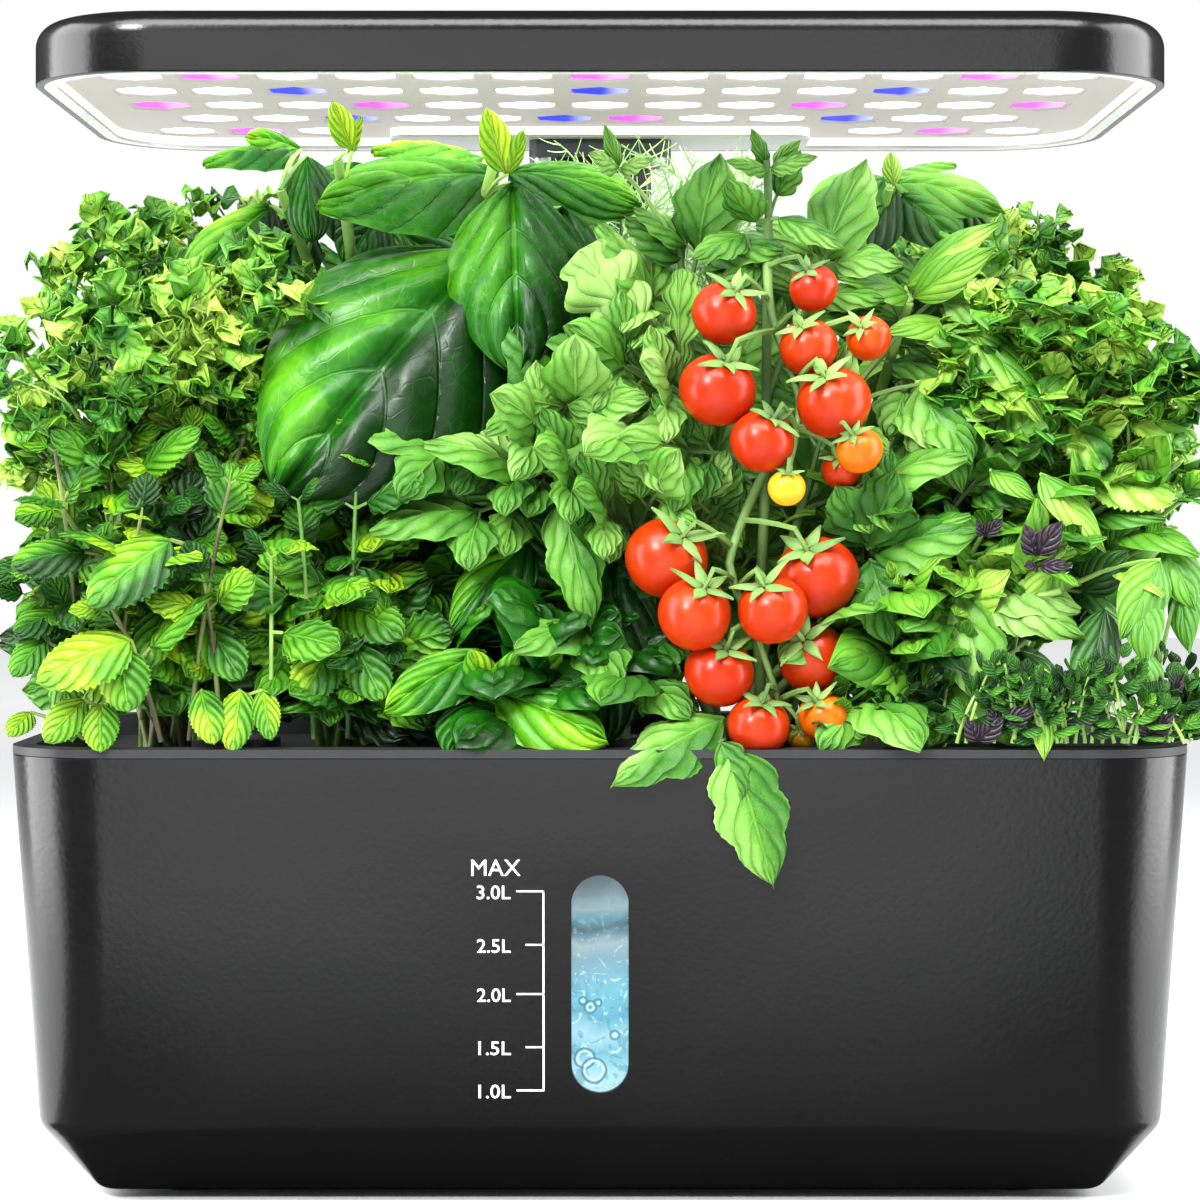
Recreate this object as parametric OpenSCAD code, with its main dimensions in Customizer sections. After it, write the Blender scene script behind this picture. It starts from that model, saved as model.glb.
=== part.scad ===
// Countertop hydroponic garden: a water tank, a lift-off grow deck with ten
// planted pods, and a grow lamp on a telescopic mast.
// Millimetres, +Z up, the front faces -Y, origin on the table under the middle.

/* [Reservoir] */
// Width of the tank at its rim
tank_w = 290; // [270:1:320]
// Depth of the tank at its rim
tank_d = 165; // [158:1:190]
// Corner radius of the tank in plan, at its rim
tank_r = 26; // [26:0.5:34]
// Height of the tank wall's top edge above the table
rim_z = 110; // [104:1:130]
// Wall thickness of the tank
tank_wall = 3; // [2:0.1:3.2]
// How far the walls lean in from the rim to the knee
taper = 6.6; // [4:0.1:6.8]
// Height of the knee, where the lower bevel starts
knee_z = 18.8; // [15:0.1:24]
// How far the lower bevel runs in
bevel_in = 15; // [10:0.5:15]
// Radius that rounds the knee and the bottom edge
edge_r = 6; // [3:0.5:6]
// Radius of a foot
foot_r = 6; // [4:0.5:8]
// Distance from the middle to a foot, across the width
foot_x = 104; // [80:1:108]
// Distance from the middle to a foot, across the depth
foot_y = 45; // [30:1:48]
// Height of the tank's bottom above the table
foot_gap = 2; // [1:0.1:4]
// How deep a foot is let into the tank's bottom
foot_sunk = 1; // [0.5:0.1:1.5]

/* [Level window] */
// Width of the window opening
window_w = 13.8; // [10:0.2:18]
// Length of the window opening, end to end
window_h = 53; // [40:1:60]
// Height of the middle of the window
window_z = 55.3; // [50:0.1:60]
// Flange of the window pane round the opening
window_flange = 3; // [2:0.5:5]
// Thickness of the pane's flange and of the gasket
flange_t = 1.5; // [1:0.1:2.5]
// How far the pane lies below the outer face
window_sunk = 0.6; // [0.2:0.1:1.5]

/* [Grow deck] */
// Thickness of the lip that rests on the rim
lip_h = 2; // [1.5:0.1:4]
// Width of the deck's border along the sides
border_side = 5.6; // [5:0.1:9]
// Width of the deck's border along the front and the back
border_front = 11; // [8:0.5:12]
// Corner radius of the sunk tray
tray_r = 15; // [8:1:20]
// How far the tray lies below the top of the lip
tray_depth = 6; // [4:0.5:8]
// Thickness of the tray's floor
floor_t = 2.4; // [1.6:0.1:4]
// How far the skirt reaches down inside the tank
skirt_h = 10; // [7:0.5:14]
// Wall thickness of the skirt
skirt_wall = 1.6; // [1.2:0.1:2.5]
// Clearance between the skirt and the tank's inner wall
skirt_gap = 0.6; // [0.4:0.1:1]
// Height of the stiffening ribs under the tray's floor
rib_h = 3; // [2:0.5:5]
// Thickness of a stiffening rib
rib_t = 1.6; // [1.2:0.1:2.4]

/* [Pods] */
// Spacing of the pods in the back row
back_pitch = 52; // [47:1:54]
// Spacing of the pods in the front row
front_pitch = 47; // [44:0.5:48]
// Distance from the mast's socket to the middle of the back row
back_row_in = 24; // [22:1:26]
// Distance from the tank's front edge to the middle of the front row
front_row_in = 44.5; // [42:0.5:48]
// How far the front row is shifted left, clear of the fill port
front_shift = 16; // [14:1:20]
// Outer radius of a basket under its collar
basket_r = 13.8; // [11:0.2:15]
// Outer radius of a basket at its foot
basket_foot_r = 10; // [8:0.5:11]
// Depth of a basket below its collar
basket_h = 45; // [35:1:48]
// Radius of a basket's collar
collar_r = 17; // [15.5:0.5:18]
// Thickness of a basket's collar
collar_h = 2.4; // [1.6:0.2:4]
// Wall thickness of a basket
basket_wall = 1.4; // [1:0.1:2]
// Number of slots round a basket
slot_count = 8; // [6:1:12]
// Width of a basket's slot
slot_w = 3; // [2:0.5:4]
// Length of a grow sponge
sponge_h = 28; // [20:1:34]

/* [Fill port] */
// Distance from the tank's right edge to the middle of the fill port
port_in = 32; // [30:0.5:34]
// Width of the flap
flap_w = 34; // [30:1:36]
// Depth of the flap, front to back
flap_d = 23; // [20:1:24]
// Thickness of the flap
flap_t = 2; // [1.6:0.1:3]
// Margin from the flap's edge to the port's opening
port_margin = 4; // [3:0.5:5]
// Depth of the flap's plug below its underside
plug_h = 2.5; // [1.5:0.5:4]
// Radius of the hinge pin
pin_r = 1; // [0.8:0.1:1.3]
// Running clearance round the hinge pin
pin_gap = 0.06; // [0.03:0.01:0.1]
// Width of one hinge ear
ear_w = 4; // [3:0.5:5]

/* [Mast] */
// Width of the outer mast
mast_w = 29; // [24:1:32]
// Depth of the outer mast, front to back
mast_d = 14; // [12:0.5:16]
// Wall thickness of the outer mast
mast_wall = 1.8; // [1.4:0.1:2.4]
// Distance from the tank's back edge to the middle of the mast
mast_in = 20.5; // [19:0.5:22]
// Width of the slot in the mast's front
mast_slot_w = 16; // [10:1:18]
// Height of the solid stretch below the mast's slot
mast_slot_from = 40; // [34:1:60]
// Clearance between the inner and the outer mast
mast_gap = 0.3; // [0.2:0.05:0.5]
// Width of the socket's flange
socket_w = 56; // [50:1:60]
// Depth of the socket's flange
socket_d = 28; // [26:1:30]
// Thickness of the socket's flange
socket_t = 4; // [3:0.5:6]
// Wall of the sleeve round the mast's foot
sleeve_wall = 4; // [3:0.5:5]
// Height of the sleeve above the flange
sleeve_h = 16; // [12:1:20]
// Width of the head bracket under the lamp
head_w = 40; // [38:1:44]
// Depth of the head bracket
head_d = 25; // [24:0.5:28]
// Thickness of the head bracket
head_t = 5; // [4:0.5:7]
// How far the lamp rises
lamp_rise = 90; // [60:5:95]
// Length of the inner mast that stays inside the outer one, with the lamp raised
mast_overlap = 53; // [45:1:56]
// Radius of a screw's shank
screw_r = 1.5; // [1.2:0.1:1.6]
// Radius of a screw's head
screw_head_r = 2.8; // [2.4:0.1:3]

/* [DC inlet] */
// Outer radius of the inlet's barrel
inlet_r = 4; // [3.5:0.1:4.5]
// Radius of the inlet's mouth
mouth_r = 2.75; // [2.5:0.05:3]
// Radius of the inlet's centre pin
centre_pin_r = 1; // [0.8:0.05:1.25]

/* [Lamp] */
// Width of the lamp
lamp_w = 281; // [270:1:300]
// Depth of the lamp
lamp_d = 161; // [154:1:166]
// Distance from the lamp's back edge to the middle of the mast
lamp_mast_in = 16.5; // [15.5:0.5:17]
// Corner radius of the lamp in plan
lamp_r = 33; // [26:1:38]
// Height of the lamp's underside above the table, lowered
lamp_z = 274.6; // [255:0.1:300]
// Height of the lamp, underside to top
lamp_h = 15.4; // [15:0.1:20]
// Radius that rounds the lamp's top edge
lamp_edge_r = 6; // [4:0.5:7]
// Wall thickness of the lamp housing
lamp_wall = 2; // [1.6:0.1:2.6]
// Width of the frame's border along the front and the sides
frame_side = 3.4; // [3:0.1:6]
// Width of the frame's border along the back
frame_back = 5; // [4:0.5:8]
// Thickness of the frame
frame_t = 0.8; // [0.6:0.1:1.4]
// Width of the frame's wide part, over the mast
boss_w = 118; // [100:2:124]
// Depth of the frame's wide part, from the frame's back border
boss_d = 26; // [24:1:28]
// Corner radius of the frame's opening
opening_r = 27; // [26:1:30]
// How deep the grille lies above the lamp's underside
grille_sunk = 3; // [2:0.5:4]
// Thickness of the grille
grille_t = 2; // [1.6:0.1:2.4]
// Wall thickness of the light guide
guide_t = 2; // [1.5:0.1:3]

/* [Hexagonal openings] */
// Distance from the lamp's end to the outer column
hex_side_in = 23.5; // [23:0.5:25]
// Distance from the lamp's front edge to the front row
hex_front_in = 31.5; // [30:0.5:32]
// Distance from the lamp's back edge to the back row
hex_back_in = 20.7; // [20:0.1:21]
// Width of an opening, flat side to flat side
hex_w = 15; // [12:0.5:16]
// Length of an opening, point to point
hex_l = 18.6; // [16:0.2:20]
// Length of an opening's flat side
hex_side = 10.6; // [8:0.2:12]
// Clearance round a lens in its opening
lens_gap = 0.1; // [0.05:0.05:0.2]
// How far a lens lies above the grille's face
lens_sunk = 0.5; // [0.2:0.1:1]
// Overlap of a lens's flange on the grille's back
lens_flange = 0.9; // [0.5:0.1:1.4]
// Thickness of a lens's flange
lens_flange_t = 0.9; // [0.6:0.1:1.2]

/* [Lamp inside] */
// Side of an LED chip
chip_side = 3; // [2:0.5:4]
// Height of an LED chip
chip_h = 0.7; // [0.5:0.1:1]
// Gap between a chip and its lens
chip_gap = 0.3; // [0.2:0.1:0.6]
// Thickness of the LED board
board_t = 1.6; // [1:0.1:1.6]
// Thickness of the heat sink's plate
sink_t = 1.2; // [1:0.1:1.6]
// Number of fins on the heat sink
fin_count = 15; // [8:1:20]
// Thickness of a fin
fin_t = 1.2; // [1:0.1:2]
// Width of the driver board
driver_w = 92; // [80:1:100]
// Depth of the driver board
driver_d = 19; // [17:1:19]

/* [Buttons] */
// Radius of a button
button_r = 6; // [5:0.5:7]
// Spacing of the two buttons
button_pitch = 56; // [46:1:60]
// How far a button travels
button_travel = 0.8; // [0.5:0.1:1]
// How far a button stands above the lamp's top
button_up = 1; // [1:0.1:1.5]
// Clearance round a button
button_gap = 0.25; // [0.15:0.05:0.4]
// Thickness of a button's flange under the lamp's top
button_flange_t = 1; // [0.8:0.1:1.2]
// Radius of an indicator lens
light_r = 1.2; // [1:0.1:1.5]
// Spacing of the indicator lenses
light_pitch = 7; // [5:0.5:8]

/* [Pump] */
// Radius of the pump's body
pump_r = 17; // [15:0.5:20]
// Height of the pump's body
pump_h = 26; // [22:1:30]
// Height of the pump's body above the tank's floor
pump_lift = 10; // [8:0.5:12]
// Thickness of the cover under the pump
cover_t = 3; // [2.5:0.1:4]
// Thickness of the filter foam
foam_t = 5; // [4:0.5:6]
// Radius of the impeller
impeller_r = 9; // [7:0.5:10]
// Height of the impeller
impeller_h = 6; // [5:0.5:7]
// Number of vanes on the impeller
vane_count = 6; // [4:1:8]
// Radius of the pump's shaft
shaft_r = 1.2; // [1:0.1:1.5]
// Place of the outlet tube right of the pump's axis
outlet_x = 26; // [25:1:27]
// Outer radius of the outlet tube
tube_r = 5; // [4:0.5:6]
// Wall thickness of the outlet tube
tube_wall = 1.2; // [1:0.1:1.6]
// Radius of the pump's lead
lead_r = 1.6; // [1.2:0.1:2]

/* [Plants] */
// How far the foliage reaches past the tank's sides
overhang = 5; // [0:1:8]
// How far the foliage reaches past the tank's front
front_overhang = 3.5; // [0:0.5:6]
// Gap between the foliage of two neighbours
plant_gap = 0.8; // [0.6:0.1:2]
// Radius that rounds a plant's crown
crown_r = 12; // [8:1:13]
// Share of a crown's width that its foot keeps
crown_foot = 0.74; // [0.6:0.02:0.9]
// Height of a crown's widest place, as a share of its height
crown_belly = 0.34; // [0.2:0.02:0.45]
// Height of a crown's shoulder, as a share of its height
crown_shoulder = 0.72; // [0.6:0.02:0.85]
// Share of a crown's width that its shoulder keeps
crown_wide = 0.86; // [0.7:0.02:0.95]
// Share of a crown's width that its top keeps
crown_top = 0.56; // [0.5:0.02:0.8]
// Radius of a plant's stem
stem_r = 3; // [2:0.5:4]
// Height of the lowest leaves above the deck's lip
leaf_z = 2; // [1:0.5:6]
// Space between the tallest plants and the lamp
lamp_clear = 4; // [3:0.5:10]

/* [Hidden] */
$fn = 48;
EPS = 0.01;
SKY = 400;
bend_steps = 6;
STEEL = "lightgray";
LEAF = "forestgreen";

// Rows of pods, the mast and the lamp, each from the edge that it keeps to
mast_y = tank_d / 2 - mast_in;
mast_front = mast_y - socket_d / 2 - 2;
back_y = mast_front - back_row_in;
front_y = tank_d / 2 - front_row_in;
row_y = (back_y - front_y) / 2;
port_x = tank_w / 2 - port_in;
lamp_y = lamp_d / 2 - lamp_mast_in - mast_y;
hex_front = lamp_d / 2 + lamp_y - hex_front_in;
outer_column = 6;
last_row_index = 4;
hex_pitch_x = (lamp_w / 2 - hex_side_in) / outer_column;
hex_pitch_y = (lamp_d - hex_front_in - hex_back_in) / last_row_index;
pump_y = back_y;
outlet_y = -row_y;

// Levels of the outer shell and of the tray
deck_z = rim_z + lip_h;
tray_z = deck_z - tray_depth;
under_z = tray_z - floor_t;
skirt_z = rim_z - skirt_h;
tank_floor_z = foot_gap + tank_wall;
lean = atan(taper / (rim_z - knee_z));
bottom_inset = taper + bevel_in;
bevel_angle = atan(bevel_in / (knee_z - foot_gap));
function micron(v) = round(v * 1000) / 1000;
function wall_inset(z) = (rim_z - z) * tan(lean);
// Corner radius of a level of the tank that lies this far in from the rim's outline
function corner_r(inset) = tank_r - inset;

// Fill port, flush with the front border
port_front = -tank_d / 2 + border_front;
flap_y = port_front + 0.5 + flap_d / 2;
flap_z = deck_z + 0.2;
ear_r = pin_r + 1;
knuckle_r = pin_r + 0.9;
hinge_y = flap_y + flap_d / 2 + ear_r;
hinge_z = deck_z + 1.3 + pin_r;
collar_edge = 1;
port_lo = port_x - flap_w / 2 - collar_edge;
port_hi = port_x + flap_w / 2 + collar_edge;
ear_x = flap_w / 2 - ear_w;
ear_gap = 0.3;
plug_gap = 1.2;

// Pods: [x, y] of each place, the back row first
back_x = [for (i = [-2:2]) i * back_pitch];
front_x = [for (i = [-2:2]) i * front_pitch - front_shift];
pods = concat([for (x = back_x) [x, back_y]], [for (x = front_x) [x, -front_y]]);
collar_z = tray_z + collar_h;
hole_gap = 0.4;
sponge_gap = 0.3;
sponge_top = collar_z - 0.8;

// Mast
pad_w = socket_w + 4;
screw_head_h = 1.6;
screw_gap = 0.2;
tube_corner_r = 2;
hollow_corner_r = 0.8;
head_z = lamp_z - head_t;
mast_top = head_z - screw_head_h - 0.9;
inner_w = mast_w - 2 * (mast_wall + mast_gap);
inner_d = mast_d - 2 * (mast_wall + mast_gap);
inner_wall = 1.6;
inner_z = mast_top - lamp_rise - mast_overlap;
socket_screw_x = socket_w / 2 - 5;
socket_screw_y = socket_d / 2 - 5;
head_screw_x = head_w / 2 - 4;
head_screw_y = head_d / 2 - 4;

// Lamp, from its underside up
lamp_top = lamp_z + lamp_h;
grille_z = lamp_z + grille_sunk;
grille_back = grille_z + grille_t;
lens_back = grille_back + lens_flange_t;
board_z = lens_back + chip_gap + chip_h;
sink_z = board_z + board_t;
ceiling_z = lamp_top - lamp_wall;
fin_h = ceiling_z - sink_z - sink_t - 0.4;
opening_w = lamp_w - 2 * (lamp_wall + frame_side);
opening_front = lamp_d / 2 - lamp_wall - frame_side;
opening_rear = lamp_d / 2 - lamp_wall - frame_back;
boss_past = 20;
boss_r = 6;
sink_in = 2;
fin_side = 25;
fin_pitch = (opening_w - 2 * fin_side) / (fin_count - 1);
fin_front = -opening_front - lamp_y + 8;
fin_rear = opening_rear - lamp_y - boss_d - 6;
post_r = 3.2;
post_fins = [2.5, 5.5];
driver_y = mast_y;
switch_h = 1.6;
driver_z = ceiling_z - button_flange_t - button_travel - 0.3 - switch_h - board_t;

// Hexagonal openings: [column, row] of each colour
function hex_at(c) = [c[0] * hex_pitch_x, -hex_front + c[1] * hex_pitch_y];
full_rows = [for (j = [0:2]) for (i = [-outer_column:outer_column]) [i, j]];
shifted_row = [for (i = [-outer_column:outer_column - 1]) [i + 0.5, 3]];
last_row = [for (i = [4:outer_column]) for (s = [-1, 1]) [s * i, last_row_index]];
all_hexes = concat(full_rows, shifted_row, last_row);
red_hexes = [[-5, 0], [0, 0], [5, 0], [-6, 2], [-3, 2], [3, 2], [6, 2], [0.5, 3], [-5, 4], [5, 4]];
blue_hexes = [[-4, 1], [0, 1], [4, 1], [-3.5, 3], [-0.5, 3], [3.5, 3]];
function among(c, list) = len([for (d = list) if (d == c) 1]) > 0;
white_hexes = [for (c = all_hexes) if (!among(c, red_hexes) && !among(c, blue_hexes)) c];

// Pump
pump_z = tank_floor_z + pump_lift;
cover_z = pump_z - cover_t;
cavity_h = impeller_h + 1;
shaft_h = 22;
tube_foot = pump_z + cavity_h + 4;
lead_x = -10;
lead_y = pump_y + 8;
lead_z = pump_z + pump_h - 3;
lead_rise = deck_z - 1 - lead_z;
// Way of the lead: share of the run sideways, to the back and up
lead_way = [[0, 0, 0], [0, 0, 0.11], [0, 0.03, 0.22], [0, 0.13, 0.31], [0, 0.25, 0.41], [0.5, 0.38, 0.51],
    [0.5, 0.53, 0.59], [1, 0.72, 0.66], [1, 0.88, 0.73], [1, 0.97, 0.81], [1, 1, 0.9], [1, 1, 1]];
lead_points = [for (w = lead_way) [lead_x + 2 * w[0], lead_y + (mast_y - lead_y) * w[1], lead_z + lead_rise * w[2]]];
lead_exit = lead_points[len(lead_points) - 1];

// Plants: the foliage of each fills its own cell of the deck
spread_x = tank_w / 2 + overhang;
spread_front = tank_d / 2 + front_overhang;
leaf_low = deck_z + leaf_z;
leaf_top = lamp_z - lamp_clear;
back_reach = mast_y + 10;
mid_cell = socket_w / 2 + 2;
outer_cell = (back_x[3] + back_x[4]) / 2;
front_edges = concat([-spread_x], [for (i = [0:3]) (front_x[i] + front_x[i + 1]) / 2], [port_lo - 2]);
purple_tall = 0.62;
crown_sides = 8;
function leaf_height(share) = leaf_low + share * (leaf_top - leaf_low);
sweep_clear = 6;
left_in = 6;
right_in = 4;
flap_sweep = hinge_z + flap_d + sweep_clear;

// ---------- Shapes that several pieces share ----------

// A rectangle with round corners, centred
module rounded_rect(w, d, r) {
    in_w = w - 2 * r;
    in_d = d - 2 * r;
    union() {
        square([in_w, d], center = true);
        square([w, in_d], center = true);
        for (x = [-1, 1], y = [-1, 1])
            translate([x * in_w / 2, y * in_d / 2])
                circle(r);
    }
}

// A slot outline: a rectangle with half-round ends, standing up
module pill(w, h) {
    union() {
        square([w, h - w], center = true);
        for (y = [-1, 1])
            translate([0, y * (h - w) / 2])
                circle(w / 2);
    }
}

// Sweeps a side profile round a plan of w by d with corner radius r. The profile is drawn
// from the middle of the plan, or from a corner's centre, out to $half
module sweep_round(w, d, r) {
    in_w = w / 2 - r;
    in_d = d / 2 - r;
    union() {
        for (q = [0:3])
            rotate([0, 0, q * 90])
                translate(q % 2 == 0 ? [in_w, in_d] : [in_d, in_w])
                    rotate_extrude(angle = 90)
                        intersection() {
                            let ($half = r) children();
                            translate([0, -SKY])
                                square(2 * SKY);
                        }
        rotate([90, 0, 90])
            linear_extrude(2 * in_w, center = true)
                let ($half = d / 2) both_ways() children();
        rotate([90, 0, 0])
            linear_extrude(2 * in_d, center = true)
                let ($half = w / 2) both_ways() children();
    }
}

module both_ways() {
    union() {
        children();
        mirror([1, 0])
            children();
    }
}

// Side profile of the tank, or with a wall's thickness that of its hollow: the leaning
// wall, a bend at the knee, the bevel and a bend at the bottom edge. A point is
// [how far in from the rim's outline, height], kept to whole microns so that the swept
// stretches meet exactly
module tank_profile(wall, top_z) {
    half_bend = (bevel_angle - lean) / 2;
    knee_mid_z = knee_z + wall * tan(half_bend);
    floor_in = bottom_inset + wall / cos(bevel_angle) - wall * tan(bevel_angle);
    knee = [
        wall_inset(knee_mid_z) + wall + edge_r * cos(lean) - edge_r * tan(half_bend) * sin(lean),
        knee_mid_z + edge_r * tan(half_bend) * cos(lean) + edge_r * sin(lean)
    ];
    foot = [floor_in + edge_r * tan((90 - bevel_angle) / 2), foot_gap + wall + edge_r];
    function bend(centre, a0, a1) = [
        for (i = [0:bend_steps])
            let (a = a0 + (a1 - a0) * i / bend_steps) centre - edge_r * [cos(a), sin(a)]
    ];
    outline = concat(bend(foot, 90, bevel_angle), bend(knee, bevel_angle, lean),
        [[wall_inset(top_z) + wall, top_z]]);
    polygon(concat(
        [[0, foot_gap + wall]],
        [for (p = outline) [$half - micron(p[0]), micron(p[1])]],
        [[0, top_z]]
    ));
}

module tank_form(wall, top_z) {
    sweep_round(tank_w, tank_d, tank_r)
        tank_profile(wall, top_z);
}

// Puts its children on the leaning front wall: x across, y up the wall, z outward
module on_front_wall(z) {
    translate([0, -tank_d / 2 + wall_inset(z), z])
        rotate([90 + lean, 0, 0])
            children();
}

// A rectangular tube standing up
module box_tube(w, d, h, t) {
    linear_extrude(h)
        difference() {
            rounded_rect(w, d, tube_corner_r);
            rounded_rect(w - 2 * t, d - 2 * t, hollow_corner_r);
        }
}

// Four places at the corners of a rectangle
module at_corners(x, y) {
    for (i = [-1, 1], j = [-1, 1])
        translate([i * x, j * y, 0])
            children();
}

// A pan-head screw with its head at z = 0 and its shank up to z = length
module screw(length) {
    translate([0, 0, -screw_head_h])
        cylinder(r = screw_head_r, h = screw_head_h);
    cylinder(r = screw_r, h = length);
}

// Opening of the lamp frame, grown by g on every side
module lamp_opening(g) {
    w = opening_w + 2 * g;
    front = -opening_front - g;
    rear = opening_rear + g;
    translate([0, -lamp_y])
        difference() {
            translate([0, (front + rear) / 2])
                rounded_rect(w, rear - front, opening_r + g);
            translate([0, opening_rear + boss_past - (boss_d + boss_past - g) / 2])
                rounded_rect(boss_w - 2 * g, boss_d + boss_past - g, boss_r);
        }
}

// Outline of one hexagonal opening, grown by g
module hex_outline(g) {
    w = hex_w / 2 + g;
    l = hex_l / 2 + g * 1.15;
    s = hex_side / 2 + g * 0.6;
    polygon([[w, -s], [w, s], [0, l], [-w, s], [-w, -s], [0, -l]]);
}

// ---------- Tank ----------

module reservoir() {
    color("#2b2c2e")
        difference() {
            tank_form(0, rim_z);
            tank_form(tank_wall, rim_z + 1);
            on_front_wall(window_z)
                translate([0, 0, -tank_wall * 2])
                    linear_extrude(tank_wall * 3)
                        pill(window_w, window_h);
            at_corners(foot_x, foot_y)
                translate([0, 0, foot_gap - EPS])
                    cylinder(r = foot_r + 0.1, h = foot_sunk + EPS);
        }
}

module gauge_window() {
    color("#9fd3e6", 0.6)
        on_front_wall(window_z) {
            pane_back = -tank_wall - flange_t;
            translate([0, 0, pane_back])
                linear_extrude(-window_sunk - pane_back)
                    pill(window_w - 0.3, window_h - 0.3);
            translate([0, 0, pane_back - flange_t])
                linear_extrude(flange_t)
                    pill(window_w + 2 * window_flange, window_h + 2 * window_flange);
        }
}

module window_gasket() {
    color("#202020")
        on_front_wall(window_z)
            translate([0, 0, -tank_wall - flange_t])
                linear_extrude(flange_t)
                    difference() {
                        pill(window_w + 2 * window_flange, window_h + 2 * window_flange);
                        pill(window_w + 0.1, window_h + 0.1);
                    }
}

module feet() {
    color("#1a1a1a")
        at_corners(foot_x, foot_y)
            cylinder(r = foot_r, h = foot_gap + foot_sunk);
}

// ---------- Grow deck ----------

module deck_shell() {
    skirt_in = tank_wall + wall_inset(skirt_z) + skirt_gap;
    hollow_in = skirt_in + skirt_wall;
    tray_len = tank_d - 2 * border_front;
    difference() {
        union() {
            translate([0, 0, rim_z])
                linear_extrude(lip_h)
                    rounded_rect(tank_w, tank_d, tank_r);
            translate([0, 0, skirt_z])
                linear_extrude(rim_z - skirt_z + EPS)
                    rounded_rect(tank_w - 2 * skirt_in, tank_d - 2 * skirt_in, corner_r(skirt_in));
        }
        translate([0, 0, tray_z])
            linear_extrude(tray_depth + 1)
                rounded_rect(tank_w - 2 * border_side, tray_len, tray_r);
        translate([0, 0, skirt_z - 1])
            linear_extrude(under_z - skirt_z + 1)
                rounded_rect(tank_w - 2 * hollow_in, tank_d - 2 * hollow_in, corner_r(hollow_in));
    }
}

// Pad for the mast's socket, flush with the border
module mast_pad() {
    pad_front = mast_front;
    translate([-pad_w / 2, pad_front, tray_z - EPS])
        cube([pad_w, tank_d / 2 - border_front - pad_front + 1, tray_depth + EPS]);
}

// Raised collar of the fill port, with the two hinge ears behind it
module port_collar() {
    lo_y = port_front - 1;
    translate([port_lo, lo_y, tray_z - EPS])
        cube([port_hi - port_lo, hinge_y + ear_r - lo_y, tray_depth + EPS]);
    for (side = [-1, 1])
        translate([port_x + side * (ear_x + ear_w / 2 + ear_gap), hinge_y, 0])
            rotate([90, 0, 90])
                linear_extrude(ear_w, center = true)
                    union() {
                        translate([-ear_r, deck_z - EPS])
                            square([2 * ear_r, hinge_z - deck_z]);
                        translate([0, hinge_z])
                            circle(ear_r);
                    }
}

// Ribs between the two rows of holes and a boss for the outlet tube
module deck_ribs() {
    rib_len = tank_w - 2 * (tank_wall + skirt_gap + skirt_wall + 8);
    translate([-rib_len / 2, row_y - rib_t / 2, under_z - rib_h])
        cube([rib_len, rib_t, rib_h + EPS]);
    translate([outlet_x, -outlet_y, under_z - rib_h - 2])
        cylinder(r = tube_r + 2, h = rib_h + 2 + EPS);
}

module grow_deck() {
    color("#3c3d40")
        difference() {
            union() {
                deck_shell();
                mast_pad();
                port_collar();
                deck_ribs();
            }
            for (p = pods)
                translate([p[0], p[1], under_z - 1])
                    cylinder(r = basket_r + hole_gap, h = floor_t + 2);
            translate([port_x, flap_y, under_z - 1])
                linear_extrude(deck_z - under_z + 2)
                    rounded_rect(flap_w - 2 * port_margin, flap_d - 2 * port_margin, 3);
            translate([port_x, hinge_y, hinge_z])
                rotate([0, 90, 0])
                    cylinder(r = pin_r, h = flap_w + 2 * ear_w, center = true);
            translate([outlet_x, -outlet_y, under_z - rib_h - 3])
                cylinder(r = tube_r + 0.05, h = rib_h + 2);
            translate([0, mast_y, 0])
                at_corners(socket_screw_x, socket_screw_y)
                    translate([0, 0, tray_z])
                        cylinder(r = screw_r, h = tray_depth + 1);
            translate([lead_exit[0], lead_exit[1], under_z - 1])
                cylinder(r = lead_r + 0.2, h = deck_z - under_z + 2);
        }
}

// Flap with a plug under it and a knuckle that turns between the ears
module fill_flap() {
    knuckle_w = 2 * ear_x - 0.4;
    flap_rear = flap_y + flap_d / 2;
    plug_in = 2 * (port_margin + plug_gap);
    color("#323336")
        difference() {
            union() {
                translate([port_x, flap_y, flap_z])
                    linear_extrude(flap_t)
                        rounded_rect(flap_w, flap_d, 4);
                translate([port_x, flap_y, flap_z - plug_h])
                    linear_extrude(plug_h + EPS)
                        rounded_rect(flap_w - plug_in, flap_d - plug_in, 2);
                translate([port_x - knuckle_w / 2, hinge_y, hinge_z])
                    rotate([0, 90, 0])
                        cylinder(r = knuckle_r, h = knuckle_w);
                translate([port_x - knuckle_w / 2, flap_rear - 1, flap_z])
                    cube([knuckle_w, hinge_y - flap_rear + 1, flap_t]);
                translate([port_x, flap_y - flap_d / 2 + 2.5, flap_z + flap_t - EPS])
                    linear_extrude(1)
                        rounded_rect(flap_w / 2, 2, 0.9);
            }
            translate([port_x - flap_w / 2, hinge_y, hinge_z])
                rotate([0, 90, 0])
                    cylinder(r = pin_r + pin_gap, h = flap_w);
        }
}

module flap_pin() {
    color(STEEL)
        translate([port_x - ear_x - ear_w, hinge_y, hinge_z])
            rotate([0, 90, 0])
                cylinder(r = pin_r, h = 2 * (ear_x + ear_w));
}

// ---------- Pods ----------

// Radius of the basket's outer wall at depth t (0 at the collar, 1 at the foot)
function basket_radius(t) = basket_r + (basket_foot_r - basket_r) * t;

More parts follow.
